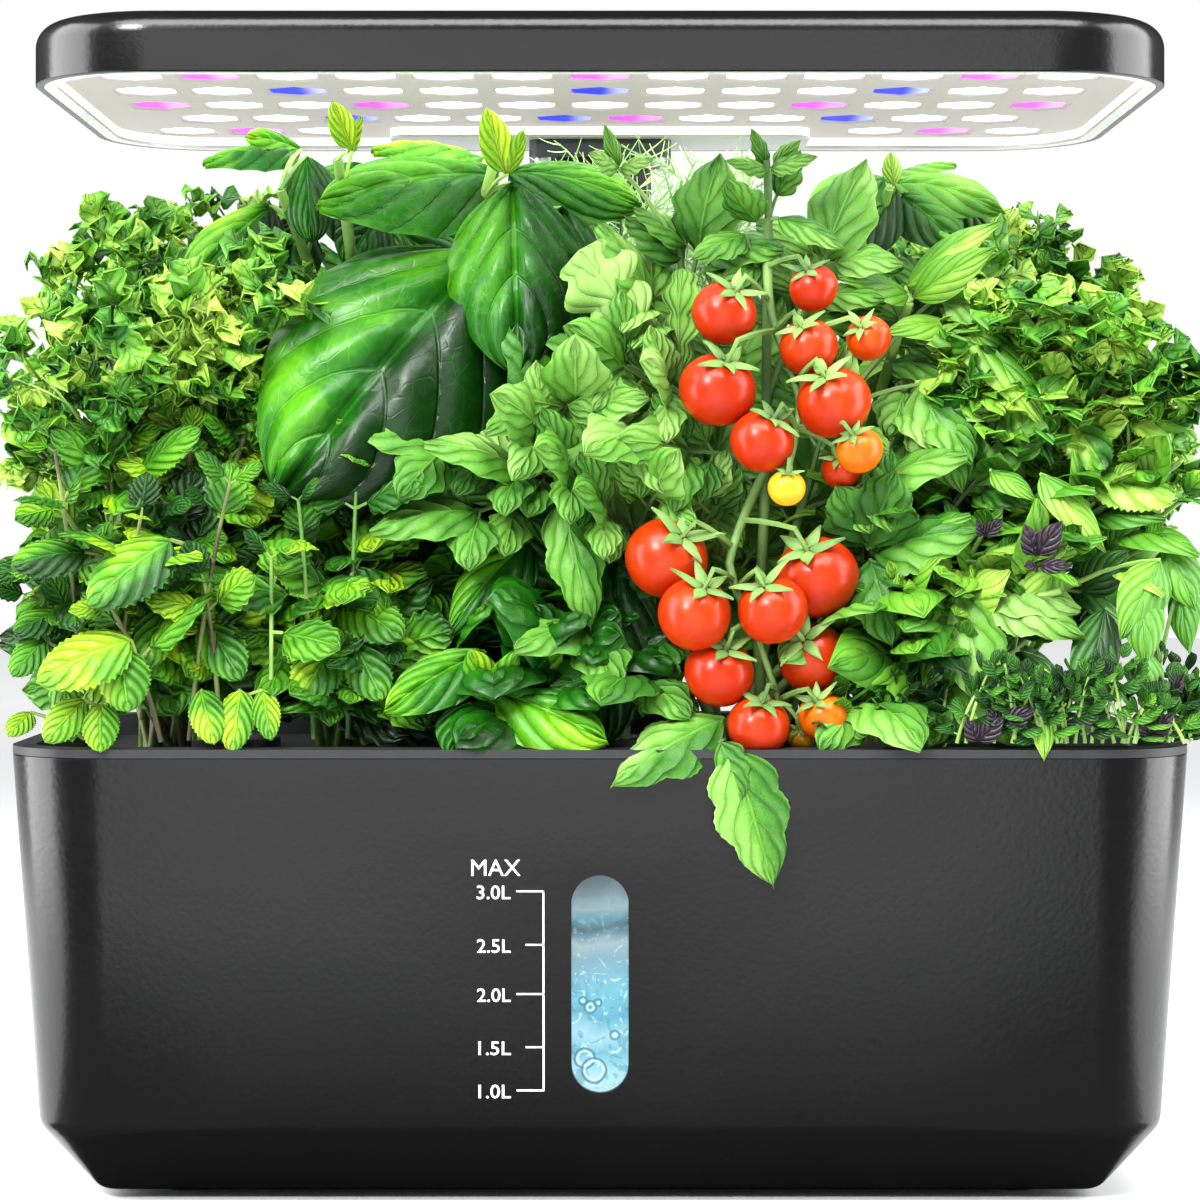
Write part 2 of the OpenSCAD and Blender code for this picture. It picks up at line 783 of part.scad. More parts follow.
module pod_basket(i) {
    w = basket_wall;
    slot_len = basket_h * 0.62;
    color("#33353a")
        translate([pods[i][0], pods[i][1], tray_z])
            difference() {
                rotate_extrude()
                    polygon([
                        [4, -basket_h], [basket_foot_r, -basket_h], [basket_r, 0], [collar_r, 0],
                        [collar_r, collar_h], [basket_r - w, collar_h], [basket_r - w, 0],
                        [basket_foot_r - w, w - basket_h], [4, w - basket_h]
                    ]);
                for (k = [0:slot_count - 1])
                    rotate([0, 0, k * 360 / slot_count])
                        translate([basket_foot_r - w - 3, -slot_w / 2, -basket_h * 0.86])
                            cube([basket_r, slot_w, slot_len]);
            }
}

module grow_sponges() {
    top_r = basket_r - basket_wall - sponge_gap;
    drop = tray_z - (sponge_top - sponge_h);
    foot_r_here = basket_radius(drop / basket_h) - basket_wall - sponge_gap;
    color("#6b4a2f")
        for (p = pods)
            translate([p[0], p[1], 0]) {
                translate([0, 0, sponge_top - sponge_h])
                    cylinder(r1 = foot_r_here, r2 = top_r, h = drop);
                translate([0, 0, tray_z])
                    cylinder(r = top_r, h = sponge_top - tray_z);
            }
}

// ---------- Plants ----------

// A soft crown of foliage between two corners: widest low down, drawn in at its foot and its top
module crown(lo, hi) {
    r = crown_r;
    mid = (lo + hi) / 2;
    half = (hi - lo) / 2;
    rise = hi[2] - lo[2] - 2 * r;
    corner = 360 / crown_sides;
    levels = [[0, crown_foot], [crown_belly, 1], [crown_shoulder, crown_wide], [1, crown_top]];
    hull()
        for (level = levels, turn = [corner / 2:corner:360])
            translate([mid[0] + max(half[0] * level[1] - r, 0) * cos(turn) / cos(corner / 2),
                       mid[1] + max(half[1] * level[1] - r, 0) * sin(turn) / cos(corner / 2),
                       lo[2] + r + rise * level[0]])
                sphere(r, $fn = 12);
}

module plant_stem(i, top_z) {
    translate([pods[i][0], pods[i][1], sponge_top])
        cylinder(r = stem_r, h = top_z - sponge_top);
}

// Foliage of one pod of the back row between x0 and x1; tall is its share of the height
module back_plant(i, x0, x1, y1, tall) {
    g = plant_gap / 2;
    color(LEAF) {
        plant_stem(i, leaf_low + crown_r);
        crown([x0 + g, row_y + g, leaf_low], [x1 - g, y1, leaf_height(tall)]);
    }
}

// Foliage of one pod of the front row, counted from the left
module front_plant(k, tall) {
    g = plant_gap / 2;
    color(LEAF) {
        plant_stem(5 + k, leaf_low + crown_r);
        crown([front_edges[k] + g, -spread_front, leaf_low],
              [front_edges[k + 1] - g, row_y - g, leaf_height(tall)]);
    }
}

module curly_parsley_plant() { back_plant(0, -spread_x + left_in, -outer_cell, back_reach, 0.77); }
module tall_basil_plant() { back_plant(1, -outer_cell, -mid_cell, back_reach, 1); }
module dill_plant() { back_plant(2, -mid_cell, mid_cell, mast_front, 0.98); }
module smooth_basil_plant() { back_plant(3, mid_cell, outer_cell, back_reach, 0.95); }
module flat_parsley_plant() { back_plant(4, outer_cell, spread_x - right_in, back_reach, 0.78); }
module mint_plant() { front_plant(0, 0.6); }
module lemon_balm_plant() { front_plant(1, 0.74); }
module sweet_basil_plant() { front_plant(2, 0.63); }
module cherry_tomato_plant() { front_plant(3, 0.92); }

// The last plant stands beside the fill port and spreads over it, above the open flap
module purple_basil_plant() {
    front_plant(4, purple_tall);
    color(LEAF)
        crown([front_edges[4] + plant_gap / 2, -spread_front, flap_sweep],
              [spread_x, row_y - plant_gap / 2, leaf_height(purple_tall)]);
}

// ---------- Pump ----------

module pump_body() {
    color("#1f2022")
        translate([0, pump_y, 0])
            difference() {
                union() {
                    translate([0, 0, pump_z])
                        cylinder(r = pump_r, h = pump_h);
                    pump_outlet_arm();
                }
                translate([0, 0, pump_z - 1])
                    cylinder(r = impeller_r + 1, h = cavity_h + 1);
                translate([0, 0, pump_z])
                    cylinder(r = shaft_r, h = shaft_h - cover_t);
                pump_outlet_channel();
                translate([lead_x, lead_y - pump_y, lead_z - 1])
                    cylinder(r = lead_r + 0.05, h = 5);
            }
}

// Solid arm from the pump's chamber to the foot of the outlet tube
module pump_outlet_arm() {
    run = [outlet_x, -outlet_y - pump_y];
    arm_len = norm(run);
    translate([0, 0, pump_z])
        rotate([0, 0, atan2(run[1], run[0])]) {
            translate([0, -tube_r - 1, 0])
                cube([arm_len, 2 * tube_r + 2, cavity_h + 4]);
            translate([arm_len, 0, 0])
                cylinder(r = tube_r + 2, h = cavity_h + 10);
        }
}

module pump_outlet_channel() {
    run = [outlet_x, -outlet_y - pump_y];
    arm_len = norm(run);
    bore_r = tube_r - tube_wall;
    translate([0, 0, pump_z + 1 + bore_r])
        rotate([0, 0, atan2(run[1], run[0])]) {
            rotate([0, 90, 0])
                cylinder(r = bore_r, h = arm_len);
            translate([arm_len, 0, 0])
                sphere(bore_r);
            translate([arm_len, 0, 0])
                cylinder(r = bore_r, h = cavity_h + 20);
            translate([arm_len, 0, tube_foot - pump_z - 1 - bore_r])
                cylinder(r = tube_r + 0.05, h = 20);
        }
}

module pump_cover() {
    color("#2a2b2e")
        translate([0, pump_y, cover_z])
            difference() {
                cylinder(r = pump_r, h = cover_t);
                translate([0, 0, -1])
                    for (k = [0:7])
                        rotate([0, 0, k * 45])
                            translate([4.5, -1, 0])
                                cube([pump_r - 8, 2, cover_t + 2]);
                translate([0, 0, cover_t - 2])
                    cylinder(r = shaft_r, h = 3);
            }
}

module pump_shaft() {
    color(STEEL)
        translate([0, pump_y, pump_z - 2])
            cylinder(r = shaft_r, h = shaft_h - cover_t + 1.9);
}

module pump_impeller() {
    color("#e8e8e8")
        translate([0, pump_y, pump_z + 0.5])
            difference() {
                union() {
                    cylinder(r = 3.2, h = impeller_h);
                    translate([0, 0, impeller_h - 1.2])
                        cylinder(r = impeller_r - 0.6, h = 1.2);
                    for (k = [0:vane_count - 1])
                        rotate([0, 0, k * 360 / vane_count])
                            translate([2, -0.6, 0])
                                cube([impeller_r - 2, 1.2, impeller_h]);
                }
                translate([0, 0, -1])
                    cylinder(r = shaft_r + 0.05, h = impeller_h + 2);
            }
}

module pump_filter() {
    color("#20242a")
        translate([0, pump_y, cover_z - foam_t])
            cylinder(r = pump_r + 1, h = foam_t);
}

module outlet_tube() {
    top = under_z - 1;
    color("#d9dde0", 0.8)
        translate([outlet_x, -outlet_y, tube_foot])
            difference() {
                cylinder(r = tube_r, h = top - tube_foot);
                translate([0, 0, -1])
                    cylinder(r = tube_r - tube_wall, h = top - tube_foot + 2);
                translate([0, 0, (top - tube_foot) * 0.7])
                    rotate([90, 0, 0])
                        cylinder(r = 1.5, h = 3 * tube_r, center = true);
            }
}

// Rings of a round tube swept along points
function ring_frame(pts, i) =
    let (a = pts[max(i - 1, 0)], b = pts[min(i + 1, len(pts) - 1)], t = (b - a) / norm(b - a))
    let (side = cross(t, [1, 0, 0]), u = side / norm(side))
    [u, cross(t, u)];

module swept_tube(pts, r, sides) {
    n = len(pts);
    rings = [
        for (i = [0:n - 1])
            let (f = ring_frame(pts, i))
                for (k = [0:sides - 1])
                    pts[i] + r * (cos(k * 360 / sides) * f[0] + sin(k * 360 / sides) * f[1])
    ];
    walls = [
        for (i = [0:n - 2]) for (k = [0:sides - 1])
            let (a = i * sides + k, b = i * sides + (k + 1) % sides)
                [b, a, a + sides, b + sides]
    ];
    first = [for (k = [0:sides - 1]) k];
    last = [for (k = [sides - 1:-1:0]) (n - 1) * sides + k];
    polyhedron(rings, concat(walls, [first, last]), convexity = 4);
}

module pump_lead() {
    color("#151515")
        swept_tube(lead_points, lead_r, 8);
}

// ---------- Mast ----------

module mast_socket() {
    color("#222326")
        translate([0, mast_y, deck_z])
            difference() {
                union() {
                    linear_extrude(socket_t)
                        rounded_rect(socket_w, socket_d, 4);
                    linear_extrude(socket_t + sleeve_h)
                        rounded_rect(mast_w + 2 * sleeve_wall, mast_d + 2 * sleeve_wall, 4);
                }
                translate([0, 0, -1])
                    linear_extrude(socket_t + sleeve_h + 2)
                        rounded_rect(mast_w + 0.1, mast_d + 0.1, tube_corner_r);
                at_corners(socket_screw_x, socket_screw_y)
                    translate([0, 0, -1])
                        cylinder(r = screw_r + screw_gap, h = socket_t + 2);
                inlet_hole();
            }
}

// Hole for the DC inlet through the back of the sleeve
module inlet_hole() {
    translate([0, mast_d / 2 - 1, socket_t + sleeve_h / 2])
        rotate([-90, 0, 0])
            cylinder(r = inlet_r, h = sleeve_wall + 2);
}

module mast_outer() {
    slot_h = mast_top - deck_z - mast_slot_from;
    color("#1d1e21")
        translate([0, mast_y, deck_z])
            difference() {
                box_tube(mast_w, mast_d, mast_top - deck_z, mast_wall);
                translate([-mast_slot_w / 2, -mast_d / 2 - 1, mast_slot_from])
                    cube([mast_slot_w, mast_wall + 1.2, slot_h + 1]);
            }
}

module mast_inner() {
    color("#17181a")
        translate([0, mast_y, inner_z])
            box_tube(inner_w, inner_d, head_z + 3 - inner_z, inner_wall);
}

module mast_head() {
    color("#1d1e21")
        translate([0, mast_y, head_z])
            difference() {
                linear_extrude(head_t)
                    rounded_rect(head_w, head_d, 4);
                translate([0, 0, -1])
                    linear_extrude(4)
                        rounded_rect(inner_w + 0.1, inner_d + 0.1, tube_corner_r);
                linear_extrude(head_t + 1)
                    rounded_rect(inner_w - 2 * inner_wall, inner_d - 2 * inner_wall, hollow_corner_r);
                at_corners(head_screw_x, head_screw_y)
                    translate([0, 0, -1])
                        cylinder(r = screw_r + screw_gap, h = head_t + 2);
            }
}

module socket_screws() {
    color(STEEL)
        translate([0, mast_y, deck_z + socket_t])
            at_corners(socket_screw_x, socket_screw_y)
                rotate([180, 0, 0])
                    screw(socket_t + tray_depth - 1);
}

module head_screws() {
    color(STEEL)
        translate([0, mast_y, head_z])
            at_corners(head_screw_x, head_screw_y)
                screw(head_t + 6);
}

module dc_inlet() {
    color("#0f0f10")
        translate([0, mast_y + mast_d / 2 + 0.1, deck_z + socket_t + sleeve_h / 2])
            rotate([-90, 0, 0]) {
                difference() {
                    union() {
                        cylinder(r = inlet_r, h = sleeve_wall);
                        translate([0, 0, sleeve_wall - 0.1])
                            cylinder(r = inlet_r + 1.4, h = 1);
                    }
                    translate([0, 0, 0.6])
                        cylinder(r = mouth_r, h = sleeve_wall + 2);
                }
                cylinder(r = centre_pin_r, h = sleeve_wall);
            }
}

// ---------- Lamp ----------

// Side profile of a slab of height h with its top edge rounded by e
module slab_profile(h, e) {
    union() {
        square([$half, h - e]);
        square([$half - e, h]);
        translate([$half - e, h - e])
            circle(e);
    }
}

module lamp_housing() {
    t = lamp_wall;
    color("#242528")
        difference() {
            union() {
                difference() {
                    translate([0, -lamp_y, lamp_z])
                        sweep_round(lamp_w, lamp_d, lamp_r)
                            slab_profile(lamp_h, lamp_edge_r);
                    translate([0, -lamp_y, lamp_z - 1])
                        sweep_round(lamp_w - 2 * t, lamp_d - 2 * t, lamp_r - t)
                            slab_profile(lamp_h - t + 1, lamp_edge_r - t);
                }
                translate([0, mast_y, lamp_z + frame_t])
                    at_corners(head_screw_x, head_screw_y)
                        cylinder(r = post_r, h = ceiling_z - lamp_z - frame_t + EPS);
                for (gap = post_fins)
                    translate([0, (fin_front + fin_rear) / 2, sink_z + sink_t])
                        at_corners(gap * fin_pitch, (fin_rear - fin_front) / 3)
                            cylinder(r = post_r, h = ceiling_z - sink_z - sink_t + EPS);
            }
            translate([0, mast_y, lamp_z])
                at_corners(head_screw_x, head_screw_y)
                    cylinder(r = screw_r, h = head_t + 7);
            for (side = [-1, 1])
                translate([side * button_pitch / 2, mast_y, ceiling_z - 1])
                    cylinder(r = button_r + button_gap, h = lamp_wall + 2);
            for (k = [-1:1])
                translate([k * light_pitch, mast_y, ceiling_z - 1])
                    cylinder(r = light_r, h = lamp_wall + 2);
        }
}

module lamp_frame() {
    color("#c9cacb")
        translate([0, 0, lamp_z])
            linear_extrude(frame_t)
                difference() {
                    translate([0, -lamp_y])
                        rounded_rect(lamp_w - 2 * lamp_wall - 0.2, lamp_d - 2 * lamp_wall - 0.2,
                            lamp_r - lamp_wall - 0.1);
                    lamp_opening(0);
                    translate([0, mast_y])
                        union() {
                            rounded_rect(inner_w - 2 * inner_wall, inner_d - 2 * inner_wall,
                                hollow_corner_r);
                            at_corners(head_screw_x, head_screw_y)
                                circle(screw_r + screw_gap);
                        }
                }
}

module light_guide() {
    color("#fff8e0")
        translate([0, 0, lamp_z + frame_t])
            linear_extrude(grille_sunk - frame_t)
                difference() {
                    lamp_opening(guide_t);
                    lamp_opening(0);
                }
}

// The grille: a plate with a hexagonal opening before each LED, each with a stepped edge
module hex_grille() {
    step = 0.6;
    color("#cfcac0")
        difference() {
            translate([0, 0, grille_z])
                linear_extrude(grille_t)
                    lamp_opening(guide_t);
            for (c = all_hexes)
                translate([hex_at(c)[0], hex_at(c)[1], grille_z - 1]) {
                    linear_extrude(grille_t + 2)
                        hex_outline(0);
                    linear_extrude(1 + step / 2)
                        hex_outline(step);
                }
        }
}

module lens_group(cells) {
    for (c = cells)
        translate([hex_at(c)[0], hex_at(c)[1], 0]) {
            translate([0, 0, grille_z + lens_sunk])
                linear_extrude(grille_t - lens_sunk + EPS)
                    hex_outline(-lens_gap);
            translate([0, 0, grille_back])
                linear_extrude(lens_flange_t)
                    hex_outline(lens_flange);
        }
}

module white_lenses() { color("white") lens_group(white_hexes); }
module red_lenses() { color("violet") lens_group(red_hexes); }
module blue_lenses() { color("blue") lens_group(blue_hexes); }

module led_board() {
    color("#e9ece6")
        translate([0, 0, board_z])
            linear_extrude(board_t)
                lamp_opening(guide_t - 0.6);
}

module led_chips() {
    color("#f3e27a")
        for (c = all_hexes)
            translate([hex_at(c)[0], hex_at(c)[1], board_z - chip_h / 2])
                cube([chip_side, chip_side, chip_h], center = true);
}

module heat_sink() {
    color("#b8bcc0") {
        translate([0, 0, sink_z])
            linear_extrude(sink_t)
                lamp_opening(-sink_in);
        for (k = [0:fin_count - 1])
            translate([(k - (fin_count - 1) / 2) * fin_pitch - fin_t / 2, fin_front, sink_z + sink_t - EPS])
                cube([fin_t, fin_rear - fin_front, fin_h]);
    }
}

// Driver board over the frame's wide part, with a switch under each button
module driver_board() {
    color("#2f6b3a")
        difference() {
            union() {
                translate([0, driver_y, driver_z])
                    linear_extrude(board_t)
                        square([driver_w, driver_d], center = true);
                for (side = [-1, 1])
                    translate([side * button_pitch / 2, driver_y, driver_z + board_t + switch_h / 2 - EPS])
                        cube([6, 6, switch_h], center = true);
            }
            translate([0, mast_y, driver_z - 1])
                at_corners(head_screw_x, head_screw_y)
                    cylinder(r = post_r + 0.1, h = board_t + 2);
        }
}

module button(side) {
    translate([side * button_pitch / 2, mast_y, 0]) {
        translate([0, 0, ceiling_z - button_flange_t])
            cylinder(r = button_r + 1, h = button_flange_t);
        translate([0, 0, ceiling_z - EPS])
            cylinder(r = button_r, h = lamp_wall + button_up + EPS);
    }
}

module light_button() { color("#d8d8d8") button(-1); }
module pump_button() { color("#d8d8d8") button(1); }

module indicator_lenses() {
    color("#dff4ff")
        for (k = [-1:1])
            translate([k * light_pitch, mast_y, ceiling_z - 1])
                cylinder(r = light_r, h = lamp_wall + 1.2);
}

// ---------- The parts ----------

reservoir();
gauge_window();
window_gasket();
feet();
grow_deck();
fill_flap();
flap_pin();
pod_basket(0);  // pod_basket_1
pod_basket(1);  // pod_basket_2
pod_basket(2);  // pod_basket_3
pod_basket(3);  // pod_basket_4
pod_basket(4);  // pod_basket_5
pod_basket(5);  // pod_basket_6
pod_basket(6);  // pod_basket_7
pod_basket(7);  // pod_basket_8
pod_basket(8);  // pod_basket_9
pod_basket(9);  // pod_basket_10
grow_sponges();
curly_parsley_plant();
tall_basil_plant();
dill_plant();
smooth_basil_plant();
flat_parsley_plant();
mint_plant();
lemon_balm_plant();
sweet_basil_plant();
cherry_tomato_plant();
purple_basil_plant();
pump_body();
pump_cover();
pump_impeller();
pump_shaft();
pump_filter();
outlet_tube();
pump_lead();
mast_socket();
mast_outer();
mast_inner();
mast_head();
lamp_housing();
lamp_frame();
light_guide();
hex_grille();
white_lenses();
red_lenses();
blue_lenses();
led_board();
led_chips();
heat_sink();
driver_board();
light_button();
pump_button();
indicator_lenses();
dc_inlet();
socket_screws();
head_screws();
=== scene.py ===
import math
import random
import bpy
import bmesh
import numpy as np
from mathutils import Matrix, Vector


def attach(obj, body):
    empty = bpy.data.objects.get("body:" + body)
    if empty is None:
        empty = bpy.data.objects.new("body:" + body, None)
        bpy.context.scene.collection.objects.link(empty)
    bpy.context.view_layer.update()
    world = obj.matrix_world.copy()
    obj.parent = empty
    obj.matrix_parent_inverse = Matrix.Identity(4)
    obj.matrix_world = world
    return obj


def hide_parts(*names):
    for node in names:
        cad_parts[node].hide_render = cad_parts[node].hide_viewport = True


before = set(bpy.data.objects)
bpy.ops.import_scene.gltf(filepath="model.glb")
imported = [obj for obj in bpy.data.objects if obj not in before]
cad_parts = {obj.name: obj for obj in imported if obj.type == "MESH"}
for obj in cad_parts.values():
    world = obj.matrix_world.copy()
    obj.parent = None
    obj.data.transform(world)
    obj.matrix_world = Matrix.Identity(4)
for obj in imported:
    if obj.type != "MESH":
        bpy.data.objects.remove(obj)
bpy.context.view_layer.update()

MM = 0.001

# ---------- Sizes of the frame that the pieces share, in millimetres ----------

RIM_Z = 110.0
TANK_W, TANK_D, TANK_R = 290.0, 165.0, 26.0
WALL = 3.0
TAPER, KNEE_Z, BEVEL_IN, EDGE_R, FOOT_GAP = 6.6, 18.8, 15.0, 6.0, 2.0
LEAN = math.atan(TAPER / (RIM_Z - KNEE_Z))
BEVEL = math.atan(BEVEL_IN / (KNEE_Z - FOOT_GAP))
WINDOW_W, WINDOW_H, WINDOW_Z = 13.8, 53.0, 55.3
# Bubbles behind the window: across, height and radius
BUBBLES = [(-3.6, 36.9, 2.4), (-1.4, 33.9, 2.9), (-2.3, 49.3, 1.3), (-0.4, 50.4, 0.8), (-4.2, 50.9, 0.9),
    (3.6, 42.5, 1.2)]
LAMP_W, LAMP_D, LAMP_R, LAMP_Y = 281.0, 161.0, 33.0, -2.0
LAMP_Z, LAMP_H, LAMP_EDGE, LAMP_WALL = 274.6, 15.4, 6.0, 2.0
MAST_Y = 62.0
BUTTON_X, BUTTON_R = 28.0, 6.25
PIPE_X, PIPE_R = 7.0, 1.2
# Top of the sponges, where a pod's main stalks start, and of the deck, where thin ones come up
SPONGE_Z, SOIL_Z = 107.0, 113.5
# Room that the open flap needs: its sides, front, back and top
FLAP_LEFT, FLAP_RIGHT, FLAP_FRONT, FLAP_BACK, FLAP_TOP = 90.0, 136.0, -79.0, -34.0, 143.0
# Room round the bracket under the lamp: half its width, its front and its underside
BRACKET_HALF, BRACKET_FRONT, BRACKET_UNDER = 22.0, 42.0, 262.0
# Share of a width from one plant's shoot to the next, so that no two line up
GOLDEN = 0.618034
PODS = [(x, 22) for x in (-104, -52, 0, 52, 104)] + [(x, -38) for x in (-110, -63, -16, 31, 78)]

# ---------- Camera, studio and floor ----------

# The world as the camera sees it, as it lights, and as polish reflects it
SEEN, LIT, REFLECTED = 1.0, 0.36, 0.16
DAYLIGHT = (0.97, 0.985, 1.0, 1)

def put_in(thing):
    bpy.context.scene.collection.objects.link(thing)

def add_camera():
    data = bpy.data.cameras.new("studio_camera")
    data.lens = 95.22
    data.sensor_width = 36.0
    data.shift_y = -0.0583
    data.clip_start = 0.05
    data.clip_end = 20.0
    camera = bpy.data.objects.new("studio_camera", data)
    camera.location = (0.0, -0.8425, 0.1647)
    camera.rotation_euler = (math.radians(90), 0, 0)
    put_in(camera)
    bpy.context.scene.camera = camera

def add_softbox(name, at, aim, size, power, color=(1, 1, 1)):
    data = bpy.data.lights.new(name, "AREA")
    data.shape = "RECTANGLE"
    data.size, data.size_y = size
    data.energy = power
    data.color = color
    light = bpy.data.objects.new(name, data)
    light.location = at
    light.rotation_euler = (Vector(aim) - Vector(at)).to_track_quat("-Z", "Y").to_euler()
    put_in(light)
    return light

def add_studio():
    world = bpy.data.worlds.new("studio")
    bpy.context.scene.world = world
    world.use_nodes = True
    nodes, links = world.node_tree.nodes, world.node_tree.links
    nodes.clear()
    out = nodes.new("ShaderNodeOutputWorld")
    skies = []
    for color, strength in (((1, 1, 1, 1), SEEN), (DAYLIGHT, LIT), (DAYLIGHT, REFLECTED)):
        sky = nodes.new("ShaderNodeBackground")
        sky.inputs["Color"].default_value = color
        sky.inputs["Strength"].default_value = strength
        skies.append(sky)
    seen, lit, dim = skies
    path = nodes.new("ShaderNodeLightPath")
    reflected = nodes.new("ShaderNodeMixShader")
    links.new(path.outputs["Is Glossy Ray"], reflected.inputs["Fac"])
    links.new(lit.outputs[0], reflected.inputs[1])
    links.new(dim.outputs[0], reflected.inputs[2])
    mix = nodes.new("ShaderNodeMixShader")
    links.new(path.outputs["Is Camera Ray"], mix.inputs["Fac"])
    links.new(reflected.outputs[0], mix.inputs[1])
    links.new(seen.outputs[0], mix.inputs[2])
    links.new(mix.outputs[0], out.inputs["Surface"])
    add_softbox("softbox_left", (-0.95, -0.05, 0.42), (0, 0, 0.12), (0.75, 1.1), 20)
    add_softbox("softbox_right", (0.95, -0.05, 0.42), (0, 0, 0.12), (0.75, 1.1), 20)
    add_softbox("softbox_top", (0.0, -0.66, 1.16), (0, 0, 0.16), (1.5, 0.5), 30)
    add_softbox("key_light", (-0.75, -1.25, 1.15), (0, 0, 0.18), (0.45, 0.45), 32)
    grow_light = add_softbox("grow_light", (0.0, -0.002, 0.2735), (0, -0.002, 0), (0.25, 0.13), 0.36)
    grow_light.visible_camera = False
    grow_light.visible_glossy = False
    bpy.context.scene.view_settings.view_transform = "Standard"
    bpy.context.scene.view_settings.look = "None"

def add_flag(name, near, middle, far, place, turn, finish):
    """A studio flag or card that only reflections see: its three rows have a width, reach and height each."""
    bm = bmesh.new()
    bmesh.ops.create_grid(bm, x_segments=1, y_segments=2, size=0.5)
    for vert in bm.verts:
        wide, reach, high = (near, middle, far)[round(vert.co.y * 2) + 1]
        vert.co = (vert.co.x * wide, reach, high)
    bmesh.ops.transform(bm, matrix=Matrix.Translation(place) @ Matrix.Rotation(math.radians(turn), 4, "Z"),
        verts=bm.verts)
    mesh = bpy.data.meshes.new(name)
    bm.to_mesh(mesh)
    bm.free()
    flag = bpy.data.objects.new(name, mesh)
    put_in(flag)
    mesh.materials.append(finish)
    for kind in ("camera", "diffuse", "shadow", "transmission", "volume_scatter"):
        setattr(flag, "visible_" + kind, False)

def add_floor(finish):
    bm = bmesh.new()
    bmesh.ops.create_grid(bm, x_segments=1, y_segments=1, size=4.0)
    mesh = bpy.data.meshes.new("floor")
    bm.to_mesh(mesh)
    bm.free()
    floor = bpy.data.objects.new("floor", mesh)
    put_in(floor)
    mesh.materials.append(finish)

# ---------- Node groups that several finishes use ----------

def new_group(name, ins, outs):
    group = bpy.data.node_groups.new(name, "ShaderNodeTree")
    for label, kind, value in ins:
        socket = group.interface.new_socket(label, in_out="INPUT", socket_type=kind)
        if value is not None:
            socket.default_value = value
    for label, kind in outs:
        group.interface.new_socket(label, in_out="OUTPUT", socket_type=kind)
    start = group.nodes.new("NodeGroupInput")
    end = group.nodes.new("NodeGroupOutput")
    return group, start, end

def math_node(tree, op, a, b=None, c=None, clamp=False):
    node = tree.nodes.new("ShaderNodeMath")
    node.operation = op
    node.use_clamp = clamp
    for i, value in enumerate((a, b, c)):
        if value is None:
            continue
        if isinstance(value, (int, float)):
            node.inputs[i].default_value = value
        else:
            tree.links.new(value, node.inputs[i])
    return node.outputs[0]

def ramp_node(tree, value, stops, smooth=False):
    node = tree.nodes.new("ShaderNodeValToRGB")
    if smooth:
        node.color_ramp.interpolation = "EASE"
    while len(node.color_ramp.elements) < len(stops):
        node.color_ramp.elements.new(0.5)
    for element, (place, color) in zip(node.color_ramp.elements, stops):
        element.position = place
        element.color = (*color, 1) if len(color) == 3 else color
    tree.links.new(value, node.inputs["Fac"])
    return node.outputs["Color"]

def range_node(tree, value, lo, hi, to_lo=0.0, to_hi=1.0, smooth=True):
    node = tree.nodes.new("ShaderNodeMapRange")
    node.interpolation_type = "SMOOTHSTEP" if smooth else "LINEAR"
    for label, number in (("From Min", lo), ("From Max", hi), ("To Min", to_lo), ("To Max", to_hi)):
        node.inputs[label].default_value = number
    tree.links.new(value, node.inputs["Value"])
    return node.outputs["Result"]

def mix_color(tree, factor, a, b, blend="MIX"):
    node = tree.nodes.new("ShaderNodeMix")
    node.data_type = "RGBA"
    node.blend_type = blend
    for socket, value in ((node.inputs[0], factor), (node.inputs[6], a), (node.inputs[7], b)):
        if isinstance(value, (int, float)):
            socket.default_value = value
        elif isinstance(value, tuple):
            socket.default_value = (*value, 1) if len(value) == 3 else value
        else:
            tree.links.new(value, socket)
    return node.outputs[2]

def noise_node(tree, where, scale, detail=2.0, rough=0.5, distortion=0.0):
    node = tree.nodes.new("ShaderNodeTexNoise")
    node.inputs["Detail"].default_value = detail
    node.inputs["Roughness"].default_value = rough
    node.inputs["Distortion"].default_value = distortion
    if isinstance(scale, (int, float)):
        node.inputs["Scale"].default_value = scale
    else:
        tree.links.new(scale, node.inputs["Scale"])
    tree.links.new(where, node.inputs["Vector"])
    return node.outputs["Fac"]

def moulded_grain_group():
    """Pebbled skin of moulded plastic: soft pebbles with finer pores between them."""
    group, start, end = new_group("moulded_grain",
        [("Where", "NodeSocketVector", None), ("Pebbles per metre", "NodeSocketFloat", 900.0)],
        [("Height", "NodeSocketFloat"), ("Polish", "NodeSocketFloat"), ("Tint", "NodeSocketFloat")])
    where, scale = start.outputs[0], start.outputs[1]
    cells = group.nodes.new("ShaderNodeTexVoronoi")
    cells.feature = "SMOOTH_F1"
    cells.inputs["Smoothness"].default_value = 0.6
    group.links.new(where, cells.inputs["Vector"])
    group.links.new(scale, cells.inputs["Scale"])
    worm = noise_node(group, where, math_node(group, "MULTIPLY", scale, 0.8), 3.0, 0.6, 0.8)
    height = math_node(group, "MULTIPLY_ADD", cells.outputs["Distance"], 0.55,
        math_node(group, "MULTIPLY", worm, 0.75))
    broad = noise_node(group, where, 9.0, 3.0)
    group.links.new(height, end.inputs["Height"])
    group.links.new(math_node(group, "MULTIPLY_ADD", broad, 0.14,
        math_node(group, "MULTIPLY", height, 0.08)), end.inputs["Polish"])
    group.links.new(math_node(group, "MULTIPLY_ADD", worm, 0.4, math_node(group, "MULTIPLY", broad, 0.6)),
        end.inputs["Tint"])
    return group

